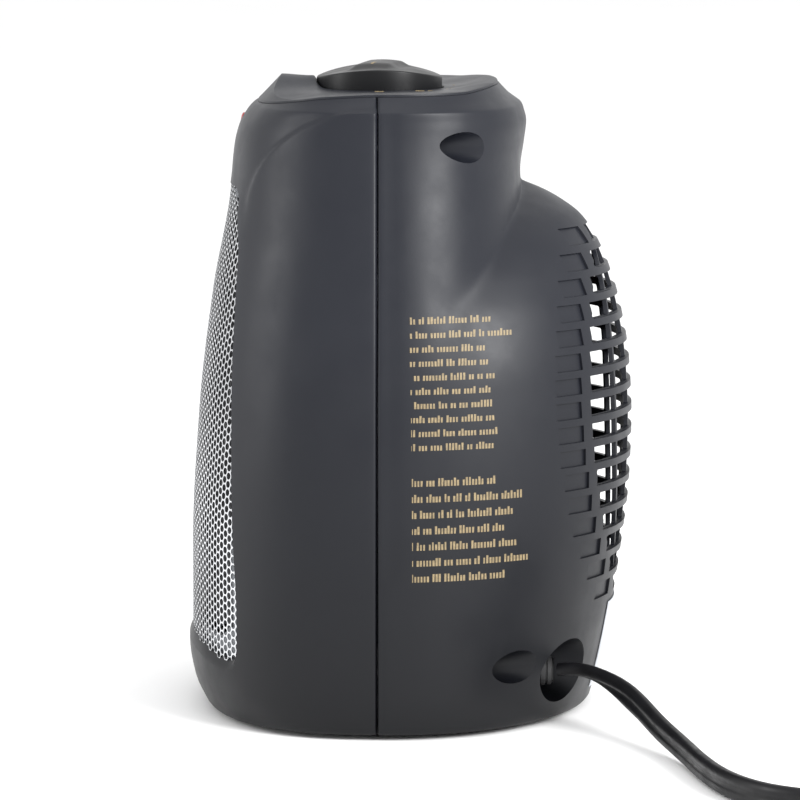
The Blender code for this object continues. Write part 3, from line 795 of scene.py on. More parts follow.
class Build(bpy.types.Operator):
    """Base of the heater's operators"""

    bl_options = {"REGISTER", "UNDO"}

    def execute(self, context):
        self.build()
        return {"FINISHED"}


class HEATER_OT_stage(Build):
    """Pale floor, soft light and the camera"""

    bl_idname = "heater.stage"
    bl_label = "Stage"

    def build(self):
        scene = bpy.context.scene
        floor = mesh_object(
            "floor", [(-60000, -60000, 0), (60000, -60000, 0), (60000, 60000, 0), (-60000, 60000, 0)],
            [(0, 1, 2, 3)], floor_paint(),
        )
        for v in floor.data.vertices:
            v.co.z = -0.0001
        world = bpy.data.worlds.new("studio")
        scene.world = world
        world.use_nodes = True
        world.node_tree.nodes["Background"].inputs["Color"].default_value = (1.0, 1.0, 1.0, 1.0)
        world.node_tree.nodes["Background"].inputs["Strength"].default_value = 1.05
        scene.view_settings.view_transform = "Standard"
        scene.view_settings.look = "None"
        self.lamp("key", (1.45, 1.55, 1.15), (0.0, 0.03, 0.15), 1.0, 70.0)
        self.lamp("top", (0.4, 0.0, 2.2), (0.0, 0.0, 0.2), 1.6, 10.0)
        self.lamp("front", (0.3, -1.8, 0.7), (0.0, 0.0, 0.1), 1.0, 14.0)
        self.camera(scene)

    def lamp(self, name, place, target, size, power):
        data = bpy.data.lights.new(name, "AREA")
        data.shape = "SQUARE"
        data.size = size
        data.energy = power
        obj = link(bpy.data.objects.new(name, data))
        obj.location = place
        obj.rotation_euler = (Vector(target) - Vector(place)).to_track_quat("-Z", "Y").to_euler()

    def camera(self, scene):
        data = bpy.data.cameras.new("camera")
        data.sensor_width = 36.0
        data.lens = 212.85
        data.clip_end = 200.0
        obj = link(bpy.data.objects.new("camera", data))
        obj.location = (1.75, -0.0039, 0.342)
        aim = Vector((0.0, -0.0039, 0.112)) - obj.location
        obj.rotation_euler = aim.to_track_quat("-Z", "Y").to_euler()
        scene.camera = obj


def cord_path():
    """Centreline of the whole cord: route, coil of two layers, short tail into the plug."""
    path = smooth_route(CORD_ROUTE, 0.004)
    cx, cy = COIL_CENTRE
    outer = 0.0543
    inner = 0.0483
    start = 0.0628
    turns = 4.05
    count = int(turns * 60)
    for k in range(1, count + 1):
        turn = turns * k / count
        a = 2 * math.pi * turn
        if turn < 0.5:
            r = start + (outer - start) * float(step(turn / 0.5))
        elif turn < 1.5:
            r = outer + (inner - outer) * float(step((turn - 1.3) / 0.2))
        elif turn < 3.0:
            r = inner
        else:
            r = inner + (outer - inner) * float(step((turn - 3.0) / 0.2))
        z = 0.0048 + 0.0094 * float(step((turn - 1.95) / 0.25))
        path.append(Vector((cx + r * math.cos(a), cy + r * math.sin(a), z)))
    last = path[-1]
    tail = [path[-2], last, last + Vector((-0.001, 0.016, -0.0014))]
    tail.append(Vector((0.2070, 0.2610, 0.0095)))
    tail.append(Vector((0.2082, 0.2720, 0.0082)))
    path.extend(smooth_route(tail, 0.004)[2:])
    return path


def flat_cord_section(width, thickness, count=32):
    """Two round cores side by side with a groove between them."""
    section = []
    for k in range(count):
        a = 2 * math.pi * k / count
        x = 0.5 * width * math.copysign(abs(math.cos(a)) ** 0.9, math.cos(a))
        waist = 1.0 - 0.42 * math.exp(-((x / (0.13 * width)) ** 2))
        y = 0.5 * thickness * math.copysign(abs(math.sin(a)) ** 0.75, math.sin(a)) * waist
        section.append((x, y))
    return section


class HEATER_OT_cord(Build):
    """Flat twin cord in one piece, with its coil and plug"""

    bl_idname = "heater.cord"
    bl_label = "Cord"

    def build(self):
        s = sizes()
        path = cord_path()
        section = flat_cord_section(s.cord_width, s.cord_thickness)
        loops = []
        run = 0.0
        for i, p in enumerate(path):
            if i:
                run += (p - path[i - 1]).length
            ahead = (path[min(i + 1, len(path) - 1)] - path[max(i - 1, 0)]).normalized()
            level = Vector((ahead.y, -ahead.x, 0)).normalized()
            upright = level.cross(ahead)
            if upright.z < 0:
                upright = -upright
            roll = math.radians(8.0) + math.radians(80.0) * float(step(run / 0.042))
            wide = level * math.cos(roll) + upright * math.sin(roll)
            thin = wide.cross(ahead)
            loops.append([tuple(p + wide * x + thin * y) for x, y in section])
        cord = loops_object("cord", loops, cord_sheath(), closed=False, scale=1.0, split=False)
        finish_piece(cord, "chassis", "cord_pvc", "power_cord", "cord_coil", degrees=60.0)
        plug = self.plug()
        tuple(path[0])
        [tuple(p) for p in path]

    def plug(self):
        low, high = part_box("plug_body")
        low, high = low / MM, high / MM
        cx, cz = (low.x + high.x) / 2, (low.z + high.z) / 2
        wide, tall = (high.x - low.x) / 2, (high.z - low.z) / 2
        loops = []
        stations = (
            (0.00, 0.36, 0.30), (0.02, 0.42, 0.36), (0.10, 0.42, 0.36), (0.11, 0.37, 0.31),
            (0.15, 0.37, 0.31), (0.16, 0.46, 0.42), (0.24, 0.46, 0.42), (0.25, 0.41, 0.37),
            (0.29, 0.41, 0.37), (0.31, 0.55, 0.55), (0.42, 0.80, 0.86), (0.55, 0.93, 0.97),
            (0.78, 0.97, 1.00), (0.90, 1.00, 1.00), (0.97, 1.00, 0.99), (1.00, 0.94, 0.92),
        )
        for share, w, t in stations:
            y = low.y + share * (high.y - low.y)
            ringed = []
            for k in range(36):
                a = 2 * math.pi * k / 36
                c, sn = math.cos(a), math.sin(a)
                x = wide * w * math.copysign(abs(c) ** 0.6, c)
                z = tall * t * math.copysign(abs(sn) ** 0.6, sn)
                ringed.append((cx + x, y, cz + z))
            loops.append(ringed)
        plug = loops_object("plug", loops, moulded_rubber(), closed=False)
        return finish_piece(plug, "chassis", "cord_pvc", "plug_body", degrees=50.0)


def seam_angles(start, columns):
    """Angles of half of the casing, closer together beside the seam."""
    close = np.array([0.0024, 0.0045, 0.0075, 0.0115, 0.017, 0.026])
    middle = np.linspace(0.042, math.pi - 0.042, columns)
    return start + np.concatenate((close, middle, math.pi - close[::-1]))


def half_casing(name, start, heights, columns):
    """Closed wall of half of the casing; its rows gather under the deck's rim."""
    angles = seam_angles(start, columns)
    outer = np.zeros((len(heights), len(angles), 3))
    inner = np.zeros_like(outer)
    for i, z in enumerate(heights):
        outer[i] = ring(z, angles)
        inner[i] = ring(z, angles, WALL)
    last = len(heights) - 1
    loops = []
    for j, angle in enumerate(angles):
        top = rim_height(ring(226.0, np.array([angle]), 0.0, False)[0][1]) - 0.75
        for i, z in enumerate(heights):
            limit = top - 0.03 * (last - i)
            if z > limit or i == last:
                outer[i, j] = point(limit, angle)
                inner[i, j] = point(limit, angle, WALL)
        loops.append([tuple(p) for p in outer[:, j]] + [tuple(p) for p in inner[::-1, j]])
    return loops_object(name, loops, casing_plastic(), closed=False)


def casing_heights():
    """Rows up the casing, closer together where it bends fast."""
    rows = list(np.linspace(BASE_Z + 1.2, 26, 12)) + list(np.linspace(30, 110, 22))
    rows += list(np.linspace(112, 172, 40)) + list(np.linspace(172.7, 198, 37))
    rows += list(np.linspace(199.5, 221, 18))
    rows += [222.0, 222.8, 223.2, 223.5, 223.9, 224.6, 225.5, 226.4, 227.2, 228.0, 228.7, 229.3]
    return [BASE_Z, BASE_Z + 0.4] + rows + [230.0, 230.8, 231.6]


def base_round(obj):
    """Draws the bottom edge in, so that it looks moulded and not sawn."""
    for v in obj.data.vertices:
        z = v.co.z / MM
        if z < BASE_Z + 1.0:
            pull = 0.6 * (1 - (z - BASE_Z)) * MM
            flat = Vector((v.co.x, v.co.y - SEAM_Y * MM, 0))
            v.co -= flat.normalized() * max(0.0, pull)


class HEATER_OT_front_shell(Build):
    """Front half of the casing, with its mouth and chin"""

    bl_idname = "heater.front_shell"
    bl_label = "Front Shell"

    def build(self):
        shell = half_casing("casing_front", math.pi, casing_heights(), sizes().columns)
        base_round(shell)
        boolean(shell, self.mouth_tool())
        boolean(shell, turned("hole", (0, 0, 215.5), "y", ((4.3, -90.0), (4.3, -50.0)), None, 40))
        finish_piece(shell, "chassis", "casing", "front_shell")

    def mouth_tool(self):
        """Opening that follows the curved front: a scooped lip outside, straight walls inside."""
        outline = mouth_outline()
        loops = []
        for depth, chin, side in (
            (34.0, 1.0, 1.0), (1.0, 1.0, 1.0), (0.0, 0.95, 0.9),
            (-0.8, 0.55, 0.3), (-1.9, 0.15, 0.0), (-3.0, 0.0, 0.0), (-30.0, 0.0, 0.0),
        ):
            loop = []
            for p in outline:
                low = float(step((MOUTH_LOW + 14.0 - p.y) / 14.0))
                x = p.x + math.copysign(1.0, p.x) * 1.1 * side * (1 - low) * min(1, abs(p.x) / 40)
                z = p.y - 5.2 * chin * low
                z += 0.9 * side * float(step((p.y - MOUTH_HIGH + 8) / 8))
                y = front_y(p.x, max(p.y, MOUTH_LOW - 3)) - depth
                loop.append((x, y if depth > -20 else -34.0, z))
            loops.append(loop)
        return loops_object("mouth", loops, None, closed=False)


def pocket_depths(z):
    """Depths at which the blind pocket of a row begins and ends."""
    return smooth_table(POCKET_NEAR, z), smooth_table(POCKET_FAR, z)


def band_tool(low, high, angles, inset):
    """Block between two heights that cuts the surface to an even depth."""
    loops = []
    for z in (low, high):
        inner = ring(z, angles, inset, False)
        outer = ring(z, angles, -5.0, False)
        loops.append([tuple(p) for p in inner] + [tuple(p) for p in outer[::-1]])
    return loops_object("band", loops, None, closed=False)


class HEATER_OT_rear_shell(Build):
    """Rear half of the casing, with its grille, pockets, wells and cord recess"""

    bl_idname = "heater.rear_shell"
    bl_label = "Rear Shell"

    def build(self):
        shell = half_casing("casing_rear", 0.0, casing_heights(), int(sizes().columns * 1.3))
        base_round(shell)
        for boss in self.wells(1.6, 2.0):
            boolean(boss, self.core(), "INTERSECT")
            boolean(shell, boss, "UNION")
        boolean(shell, joined(self.wells(0.0, 0.0)))
        for band in self.bands():
            boolean(shell, band)
        boolean(shell, joined(self.slots()))
        boolean(shell, joined(self.holes()))
        finish_piece(shell, "chassis", "casing", "rear_shell")

    def core(self):
        heights = (3.5, 14, 40, 80, 120, 150, 168, 180, 188, 194, 205, 215, 221)
        angles = np.linspace(0, 2 * math.pi, 97)[:-1]
        loops = [[tuple(p) for p in ring(z, angles, 1.3, False)] for z in heights]
        return loops_object("core", loops, None, closed=False)

    def wells(self, grow, shift):
        tools = []
        rows = [(side * x, z, r, floor) for x, z, r, floor in SCREW_WELLS for side in (-1, 1)]
        rows.append((CORD_WELL.x, CORD_WELL.z, CORD_WELL_R, CORD_WELL.y))
        for x, z, r, floor in rows:
            profile = ((r + grow, floor - shift), (r + grow, 95.0))
            tools.append(turned("well", (x, 0, z), "y", profile, None, 44))
        return tools

    def bands(self):
        tools = []
        for row in range(SLOT_ROWS):
            top = SLOT_TOP - row * SLOT_PITCH
            low = top - SLOT_HEIGHT
            middle = 0.5 * (top + low)
            near, far = pocket_depths(middle)
            a, b = angle_at_depth(middle, near), angle_at_depth(middle, far)
            c = angle_at_width(middle, smooth_table(GRILLE_HALF, middle) + 0.3)
            for mirrored in (False, True):
                span = np.linspace(a, b, 6)
                tools.append(band_tool(low, top, math.pi - span if mirrored else span, 0.9))
            tools.append(band_tool(low, top, np.linspace(c, math.pi - c, 24), 1.1))
        return tools

    def slots(self):
        tools = []
        for row in range(SLOT_ROWS):
            top = SLOT_TOP - row * SLOT_PITCH
            low = top - SLOT_HEIGHT
            wide = smooth_table(GRILLE_HALF, low + 0.2)
            slim = smooth_table(GRILLE_HALF, top - 0.2)
            for a, b in SLOT_SHARES:
                for side in (-1, 1) if a > 0 else (1,):
                    corners = [
                        (a * wide, low + 0.2, 0.55), (b * wide, low + 0.2, 0.55),
                        (b * slim, top - 0.2, 0.55), (a * slim, top - 0.2, 0.55),
                    ]
                    if (b - a) * min(wide, slim) < 1.6:
                        continue
                    outline = [Vector((side * p.x, p.y)) for p in rounded_outline(corners, 2)]
                    loops = [[(p.x, y, p.y) for p in outline] for y in (30.0, 110.0)]
                    tools.append(loops_object("slot", loops, None, closed=False))
        return tools

    def holes(self):
        tools = []
        for x, z, r, floor in SCREW_WELLS:
            for side in (-1, 1):
                profile = ((1.9, floor - 16), (1.9, floor + 1))
                tools.append(turned("hole", (side * x, 0, z), "y", profile, None, 20))
        centre = (CORD_WELL.x, 0, CORD_WELL.z)
        tools.append(turned("hole", centre, "y", ((7.0, 25.0), (7.0, CORD_WELL.y + 1)), None, 32))
        return tools


class HEATER_OT_panel(Build):
    """Top deck with the knob pocket, brow and rear lip"""

    bl_idname = "heater.panel"
    bl_label = "Control Panel"

    def build(self):
        loops = []
        count = 180
        centre = Vector((0, KNOB_Y, 0))
        for k in range(count):
            a = 2 * math.pi * k / count
            level = rim_height(ring(226.0, np.array([a]), 0.0, False)[0][1])
            x, y, _ = point(level - 0.4, a)
            front = max(0.0, -math.sin(a)) ** 6
            plateau = max(0.0, -math.sin(a)) ** 14
            flat = Vector((x, y, 0)) - centre
            direction = flat.normalized()
            reach = flat.length
            shoulder = 1.4 + 7.2 * front
            crest = level + 0.3 + 8.6 * front
            inner = DECK_Z + 4.2 * plateau

            def at(r, z):
                p = centre + direction * r
                return (p.x, p.y, z)

            loop = [at(reach - 0.7, level - 0.7), at(reach - 0.05, level - 0.68)]
            loop += [at(reach + 0.05, level - 0.3)]
            loop.append(at(reach - 0.1, level + 0.1))
            for share in (0.1, 0.35, 0.7, 0.93, 1.0):
                z = level + 0.2 + (crest - level - 0.2) * share
                loop.append(at(reach - 0.3 - (shoulder - 0.3) * share, z))
            for share in (0.04, 0.12, 0.25, 0.4, 0.6, 0.8, 0.95):
                r = (reach - shoulder) * (1 - share) + (POCKET_RADIUS + 0.7) * share
                fall = float(step(share / 0.9))
                loop.append(at(r, crest * (1 - fall) + inner * fall))
            loop += [
                at(POCKET_RADIUS + 0.6, inner), at(POCKET_RADIUS + 0.15, inner - 0.2),
                at(POCKET_RADIUS, inner - 0.7), at(POCKET_RADIUS, POCKET_FLOOR + 0.4),
                at(POCKET_RADIUS - 0.4, POCKET_FLOOR), at(5.2, POCKET_FLOOR),
                at(5.2, POCKET_FLOOR - 2.0), at(POCKET_RADIUS + 2.0, POCKET_FLOOR - 2.0),
                at(POCKET_RADIUS + 2.0, 226.0), at(0.5 * (reach - shoulder + POCKET_RADIUS), 226.2),
                at(reach - shoulder - 2.4, min(crest - 1.9, max(level - 0.7, 226.6))),
                at(reach - 3.2, level - 0.7),
            ]
            loops.append(loop)
        panel = loops_object("deck", loops, casing_plastic(), closed=True)
        finish_piece(panel, "chassis", "casing", "control_panel", degrees=38.0)
        self.marks()

    def marks(self):
        """Generic printed marks round the knob: a dot, bars and a small fan shape."""
        pieces = []
        for degrees, kind in ((0.0, "dot"), (29.0, "bars"), (62.0, "fan"), (104.0, "fan")):
            a = math.radians(degrees)
            r = 30.5 if abs(degrees) < 60 else 31.5
            centre = (r * math.cos(a), KNOB_Y + r * math.sin(a), DECK_Z + 0.12)
            pieces.append(self.ring_mark(centre, 1.7, 1.15))
            if kind == "fan":
                for k in range(4):
                    b = math.pi / 2 * k + 0.4
                    pieces.append(self.bar_mark(centre, b, 2.2, 3.6, 0.55))
            if kind == "bars":
                for k in (-1, 0, 1):
                    shifted = (centre[0] + 1.1 * k, centre[1] + 3.0, centre[2])
                    pieces.append(self.bar_mark(shifted, math.pi / 2, 0.0, 1.7, 0.35))
        marks = joined(pieces, "deck_marks")
        marks.data.materials.clear()
        marks.data.materials.append(print_ink())
        finish_piece(marks, "chassis", "casing")

    def ring_mark(self, centre, outer, inner):
        profile = ((outer, -0.06), (outer, 0.06), (inner, 0.06), (inner, -0.06))
        return turned("mark", centre, "z", profile, print_ink(), 20, closed=True)

    def bar_mark(self, centre, angle, near, far, half):
        c, s = math.cos(angle), math.sin(angle)
        corners = []
        for r, w in ((near, -half), (far, -half), (far, half), (near, half)):
            corners.append((centre[0] + r * c - w * s, centre[1] + r * s + w * c))
        loops = [[(x, y, centre[2] + z) for x, y in corners] for z in (-0.06, 0.06)]
        return loops_object("mark", loops, print_ink(), closed=False)


class HEATER_OT_knob(Build):
    """Domed knob with its grip"""

    bl_idname = "heater.knob"
    bl_label = "Knob"

    def build(self):
        segments = 144
        stations = [(22.6, -1.0), (23.1, -0.5), (KNOB_RADIUS, 0.2), (KNOB_RADIUS, 4.4), (KNOB_RADIUS, 9.0)]
        loops = []
        for r, lift in stations:
            loops.append([self.wall(r, lift, k, segments) for k in range(segments)])
        for r, drop in ((23.12, 0.25), (22.9, 0.06), (22.55, 0.0)):
            loops.append([self.top(r, drop, k, segments) for k in range(segments)])
        for r in np.linspace(21.8, 0.8, 26):
            loops.append([self.top(r, 0.0, k, segments) for k in range(segments)])
        knob = loops_object("knob", loops, knob_plastic(), closed=False)
        boolean(knob, turned("bore", (0, KNOB_Y, KNOB_BASE), "z", ((3.3, -1.5), (3.3, 6.0)), None, 24))
        finish_piece(knob, "knob", "knob_black", "selector_knob", degrees=42.0)
        self.mark()

    def height(self, x, y):
        """Arched across, with a raised pointer along X."""
        arch = KNOB_RIM + KNOB_ARCH * (1 - (y / KNOB_RADIUS) ** 2)
        aside = abs(y + POINTER_SLANT * x + 1.0) / POINTER_HALF
        ahead = max(0.0, (x - 5.0) / 9.0, (-x - 14.0) / 7.0)
        side = 1.0 - float(step((aside - 0.62) / 0.42))
        end = 1.0 - float(step((ahead - 0.1) / 0.9))
        return arch + (POINTER_RISE - 0.5 * aside**2) * side * end

    def wall(self, r, lift, k, segments):
        a = 2 * math.pi * k / segments
        x, y = r * math.cos(a), r * math.sin(a)
        z = KNOB_BASE + 1.0 + lift
        if lift > 4.0:
            z = KNOB_BASE + 1.2 + (self.height(x, y) - 0.6 - KNOB_BASE - 1.2) * (0.5 if lift < 5.0 else 1.0)
        return (x, KNOB_Y + y, z)

    def top(self, r, drop, k, segments):
        a = 2 * math.pi * k / segments
        x, y = r * math.cos(a), r * math.sin(a)
        return (x, KNOB_Y + y, self.height(x, y) - drop)

    def mark(self):
        """Short pale line on the pointer."""
        loops = []
        for x in np.linspace(2.0, 8.0, 7):
            y = -POINTER_SLANT * x - 1.0
            z = self.height(x, y)
            corners = ((-0.5, -0.2), (0.5, -0.2), (0.5, 0.05), (-0.5, 0.05))
            loops.append([(x, KNOB_Y + y + dy, z + dz) for dy, dz in corners])
        mark = loops_object("knob_mark", loops, print_ink(), closed=False)
        finish_piece(mark, "knob", "knob_black")


class HEATER_OT_front_sheet(Build):
    """Perforated steel front"""

    bl_idname = "heater.front_sheet"
    bl_label = "Perforated Front"

    def build(self):
        s = sizes()
        pitch = s.hole_pitch / MM
        centres = self.centres(pitch)
        mesh = bpy.data.meshes.new("perforated_front")
        mesh.from_pydata([tuple(Vector(c) * MM) for c in centres], [], [])
        sheet = link(bpy.data.objects.new("perforated_front", mesh))
        group, keys = self.tree()
        run = sheet.modifiers.new("perforate", "NODES")
        run.node_group = group
        run[keys["Pitch"]] = s.hole_pitch
        run[keys["Hole Radius"]] = s.hole_radius
        run[keys["Thickness"]] = s.sheet_thickness
        run[keys["Steel"]] = perforated_steel()
        graph = bpy.context.evaluated_depsgraph_get()
        result = bpy.data.meshes.new_from_object(sheet.evaluated_get(graph))
        sheet.modifiers.clear()
        sheet.data = result
        self.wrap(sheet)
        finish_piece(sheet, "chassis", "steel_mesh", "front_grille", degrees=50.0)

    def centres(self, pitch):
        """Staggered hole centres in the flattened sheet: distance round the front, and height."""
        column = pitch * math.sqrt(3) / 2
        found = []
        half = int(90 / column)
        for i in range(-half, half + 1):
            u = i * column
            for j in range(int((MOUTH_HIGH - MOUTH_LOW) / pitch) + 5):
                z = MOUTH_LOW - 8.4 + (j + 0.5 * (i % 2)) * pitch
                x = self.unrolled(u, z)[0]
                if self.inside(x, z):
                    found.append((u, 0.0, z))
        return found

    def inside(self, x, z):
        if z > MOUTH_HIGH + 0.6:
            return False
        foot = MOUTH_LOW - mouth_dip(x, MOUTH_LOW)
        if z < foot - 0.6:
            return False
        corner = max(0.0, z - (MOUTH_HIGH - 9.0), foot + 8.0 - z)
        trim = 9.5 - math.sqrt(max(0.0, 90.0 - corner**2)) if corner > 0 else 0.0
        return abs(x) < mouth_half(z) + 1.2 - trim

    def unrolled(self, u, z):
        """Point of the front surface at distance u from the middle, measured round it."""
        key = round(z, 1)
        if key not in ARCS:
            angles = np.linspace(1.5 * math.pi, 1.5 * math.pi + math.radians(78), 240)
            pts = ring(key, angles, 1.25, False)
            steps = np.linalg.norm(np.diff(pts[:, :2], axis=0), axis=1)
            ARCS[key] = (np.concatenate(([0.0], np.cumsum(steps))), pts)
        arc, pts = ARCS[key]
        x = float(np.interp(abs(u), arc, pts[:, 0]))
        y = float(np.interp(abs(u), arc, pts[:, 1]))
        return math.copysign(x, u), y

    def wrap(self, sheet):
        """Wraps the flat sheet round the front of the casing."""
        for v in sheet.data.vertices:
            u, depth, z = (c / MM for c in v.co)
            x, y = self.unrolled(u, z)
            inward = Vector((-x, -12.0 * (y - SEAM_Y) / 10.0, 0)).normalized()
            v.co = Vector((x + inward.x * depth, y + inward.y * depth, z)) * MM

    def tree(self):
        """Node tree that sets one hexagonal cell with a round hole on every centre."""
        group = bpy.data.node_groups.new("perforate", "GeometryNodeTree")
        face = group.interface
        face.new_socket("Geometry", in_out="INPUT", socket_type="NodeSocketGeometry")
        keys = {}
        for name, kind in (
            ("Pitch", "NodeSocketFloat"), ("Hole Radius", "NodeSocketFloat"),
            ("Thickness", "NodeSocketFloat"), ("Steel", "NodeSocketMaterial"),
        ):
            keys[name] = face.new_socket(name, in_out="INPUT", socket_type=kind).identifier
        face.new_socket("Geometry", in_out="OUTPUT", socket_type="NodeSocketGeometry")
        new = group.nodes.new
        join = group.links.new
        source = new("NodeGroupInput")
        out = new("NodeGroupOutput")

        def math_node(operation, a, b):
            n = new("ShaderNodeMath")
            n.operation = operation
            for socket, value in zip(n.inputs, (a, b)):
                if isinstance(value, (int, float)):
                    socket.default_value = value
                else:
                    join(value, socket)
            return n.outputs[0]

        corner = math_node("DIVIDE", source.outputs["Pitch"], math.sqrt(3))
        cell = new("GeometryNodeCurvePrimitiveCircle")
        cell.inputs["Resolution"].default_value = 6
        join(corner, cell.inputs["Radius"])
        hole = new("GeometryNodeCurvePrimitiveCircle")
        hole.inputs["Resolution"].default_value = 12
        join(source.outputs["Hole Radius"], hole.inputs["Radius"])
        both = new("GeometryNodeJoinGeometry")
        join(cell.outputs["Curve"], both.inputs[0])
        join(hole.outputs["Curve"], both.inputs[0])
        fill = new("GeometryNodeFillCurve")
        join(both.outputs[0], fill.inputs["Curve"])
        rim = new("GeometryNodeMeshCircle")
        rim.inputs["Vertices"].default_value = 12
        join(source.outputs["Hole Radius"], rim.inputs["Radius"])
        drop = new("ShaderNodeCombineXYZ")
        join(math_node("MULTIPLY", source.outputs["Thickness"], -1.0), drop.inputs["Z"])
        wall = new("GeometryNodeExtrudeMesh")
        wall.mode = "EDGES"
        join(rim.outputs["Mesh"], wall.inputs["Mesh"])
        join(drop.outputs[0], wall.inputs["Offset"])
        wall.inputs["Offset Scale"].default_value = 1.0
        back = new("GeometryNodeTransform")
        join(fill.outputs["Mesh"], back.inputs["Geometry"])
        join(drop.outputs[0], back.inputs["Translation"])
        turned_back = new("GeometryNodeFlipFaces")
        join(back.outputs[0], turned_back.inputs[0])
        parts = new("GeometryNodeJoinGeometry")
        join(fill.outputs["Mesh"], parts.inputs[0])
        join(wall.outputs["Mesh"], parts.inputs[0])
        join(turned_back.outputs[0], parts.inputs[0])
        weld = new("GeometryNodeMergeByDistance")
        weld.inputs["Distance"].default_value = 0.00001
        join(parts.outputs[0], weld.inputs["Geometry"])
        place = new("GeometryNodeInstanceOnPoints")
        join(source.outputs["Geometry"], place.inputs["Points"])
        join(weld.outputs[0], place.inputs["Instance"])
        upright = new("FunctionNodeEulerToRotation")
        upright.inputs[0].default_value = (math.radians(90), 0, 0)
        join(upright.outputs[0], place.inputs["Rotation"])
        real = new("GeometryNodeRealizeInstances")
        join(place.outputs[0], real.inputs[0])
        merge = new("GeometryNodeMergeByDistance")
        merge.inputs["Distance"].default_value = 0.00002
        join(real.outputs[0], merge.inputs["Geometry"])
        paint = new("GeometryNodeSetMaterial")
        join(merge.outputs[0], paint.inputs["Geometry"])
        join(source.outputs["Steel"], paint.inputs["Material"])
        join(paint.outputs[0], out.inputs[0])
        return group, keys


ARCS = {}


class HEATER_OT_outlet_grid(Build):
    """Dark upright vanes between the heating stack and the perforated front"""

    bl_idname = "heater.outlet_grid"
    bl_label = "Outlet Grid"

    def build(self):
        vanes = []
        for x in VANE_PLACES:
            low, high = MOUTH_LOW + 5.0, MOUTH_HIGH - 6.0
            while mouth_half(high) < abs(x) + 3.0:
                high -= 1.0
            heights = np.linspace(low, high, 30)
            loops = []
            for z in heights:
                near = front_y(x, z) + 3.6
                loops.append([
                    (x - 0.8, -51.5, z), (x - 0.8, near + 0.5, z), (x - 0.4, near, z),
                    (x + 0.4, near, z), (x + 0.8, near + 0.5, z), (x + 0.8, -51.5, z),
                ])
            vanes.append(loops_object("vane", loops, fan_plastic(), closed=False))
        grid = joined(vanes, "outlet_grid")
        finish_piece(grid, "chassis", "fan_black")


class HEATER_OT_print(Build):
    """Plain word-like bars in place of the printed notes"""

    bl_idname = "heater.print"
    bl_label = "Print"

    def build(self):
        random.seed(7)
        ticks = []
        for top, low, count, start in ((149.5, 105.0, 10, -1.5), (92.3, 58.0, 7, -2.2)):
            pitch = (top - low) / (count - 1)
            for row in range(count):
                z = top - row * pitch
                y = start + (2.6 if count == 10 and row in (4, 6) else 0.0)
                end = start + random.uniform(25.0, 31.0) + (7.0 if count == 7 else 0.0)
                while y < end:
                    letters = random.randint(2, 8)
                    for _ in range(letters):
                        tall = random.random() < 0.3
                        ticks.append(self.tick(y, z, 0.72, (0.50 if tall else 0.36) * pitch))
                        y += 1.12
                    y += 0.9
        notes = joined(ticks, "printed_bars")
        finish_piece(notes, "chassis", "casing")

    def tick(self, start, base, wide, tall):
        """One short printed stroke on the side of the rear shell."""
        loops = []
        for y in (start, start + wide):
            loop = []
            for level, lift in ((base, -0.1), (base + tall, -0.1), (base + tall, 0.06), (base, 0.06)):
                p = point(level, angle_at_depth(level, y), -lift)
                loop.append((p[0], p[1], level))
            loops.append(loop)
        return loops_object("tick", loops, print_ink(), closed=False)


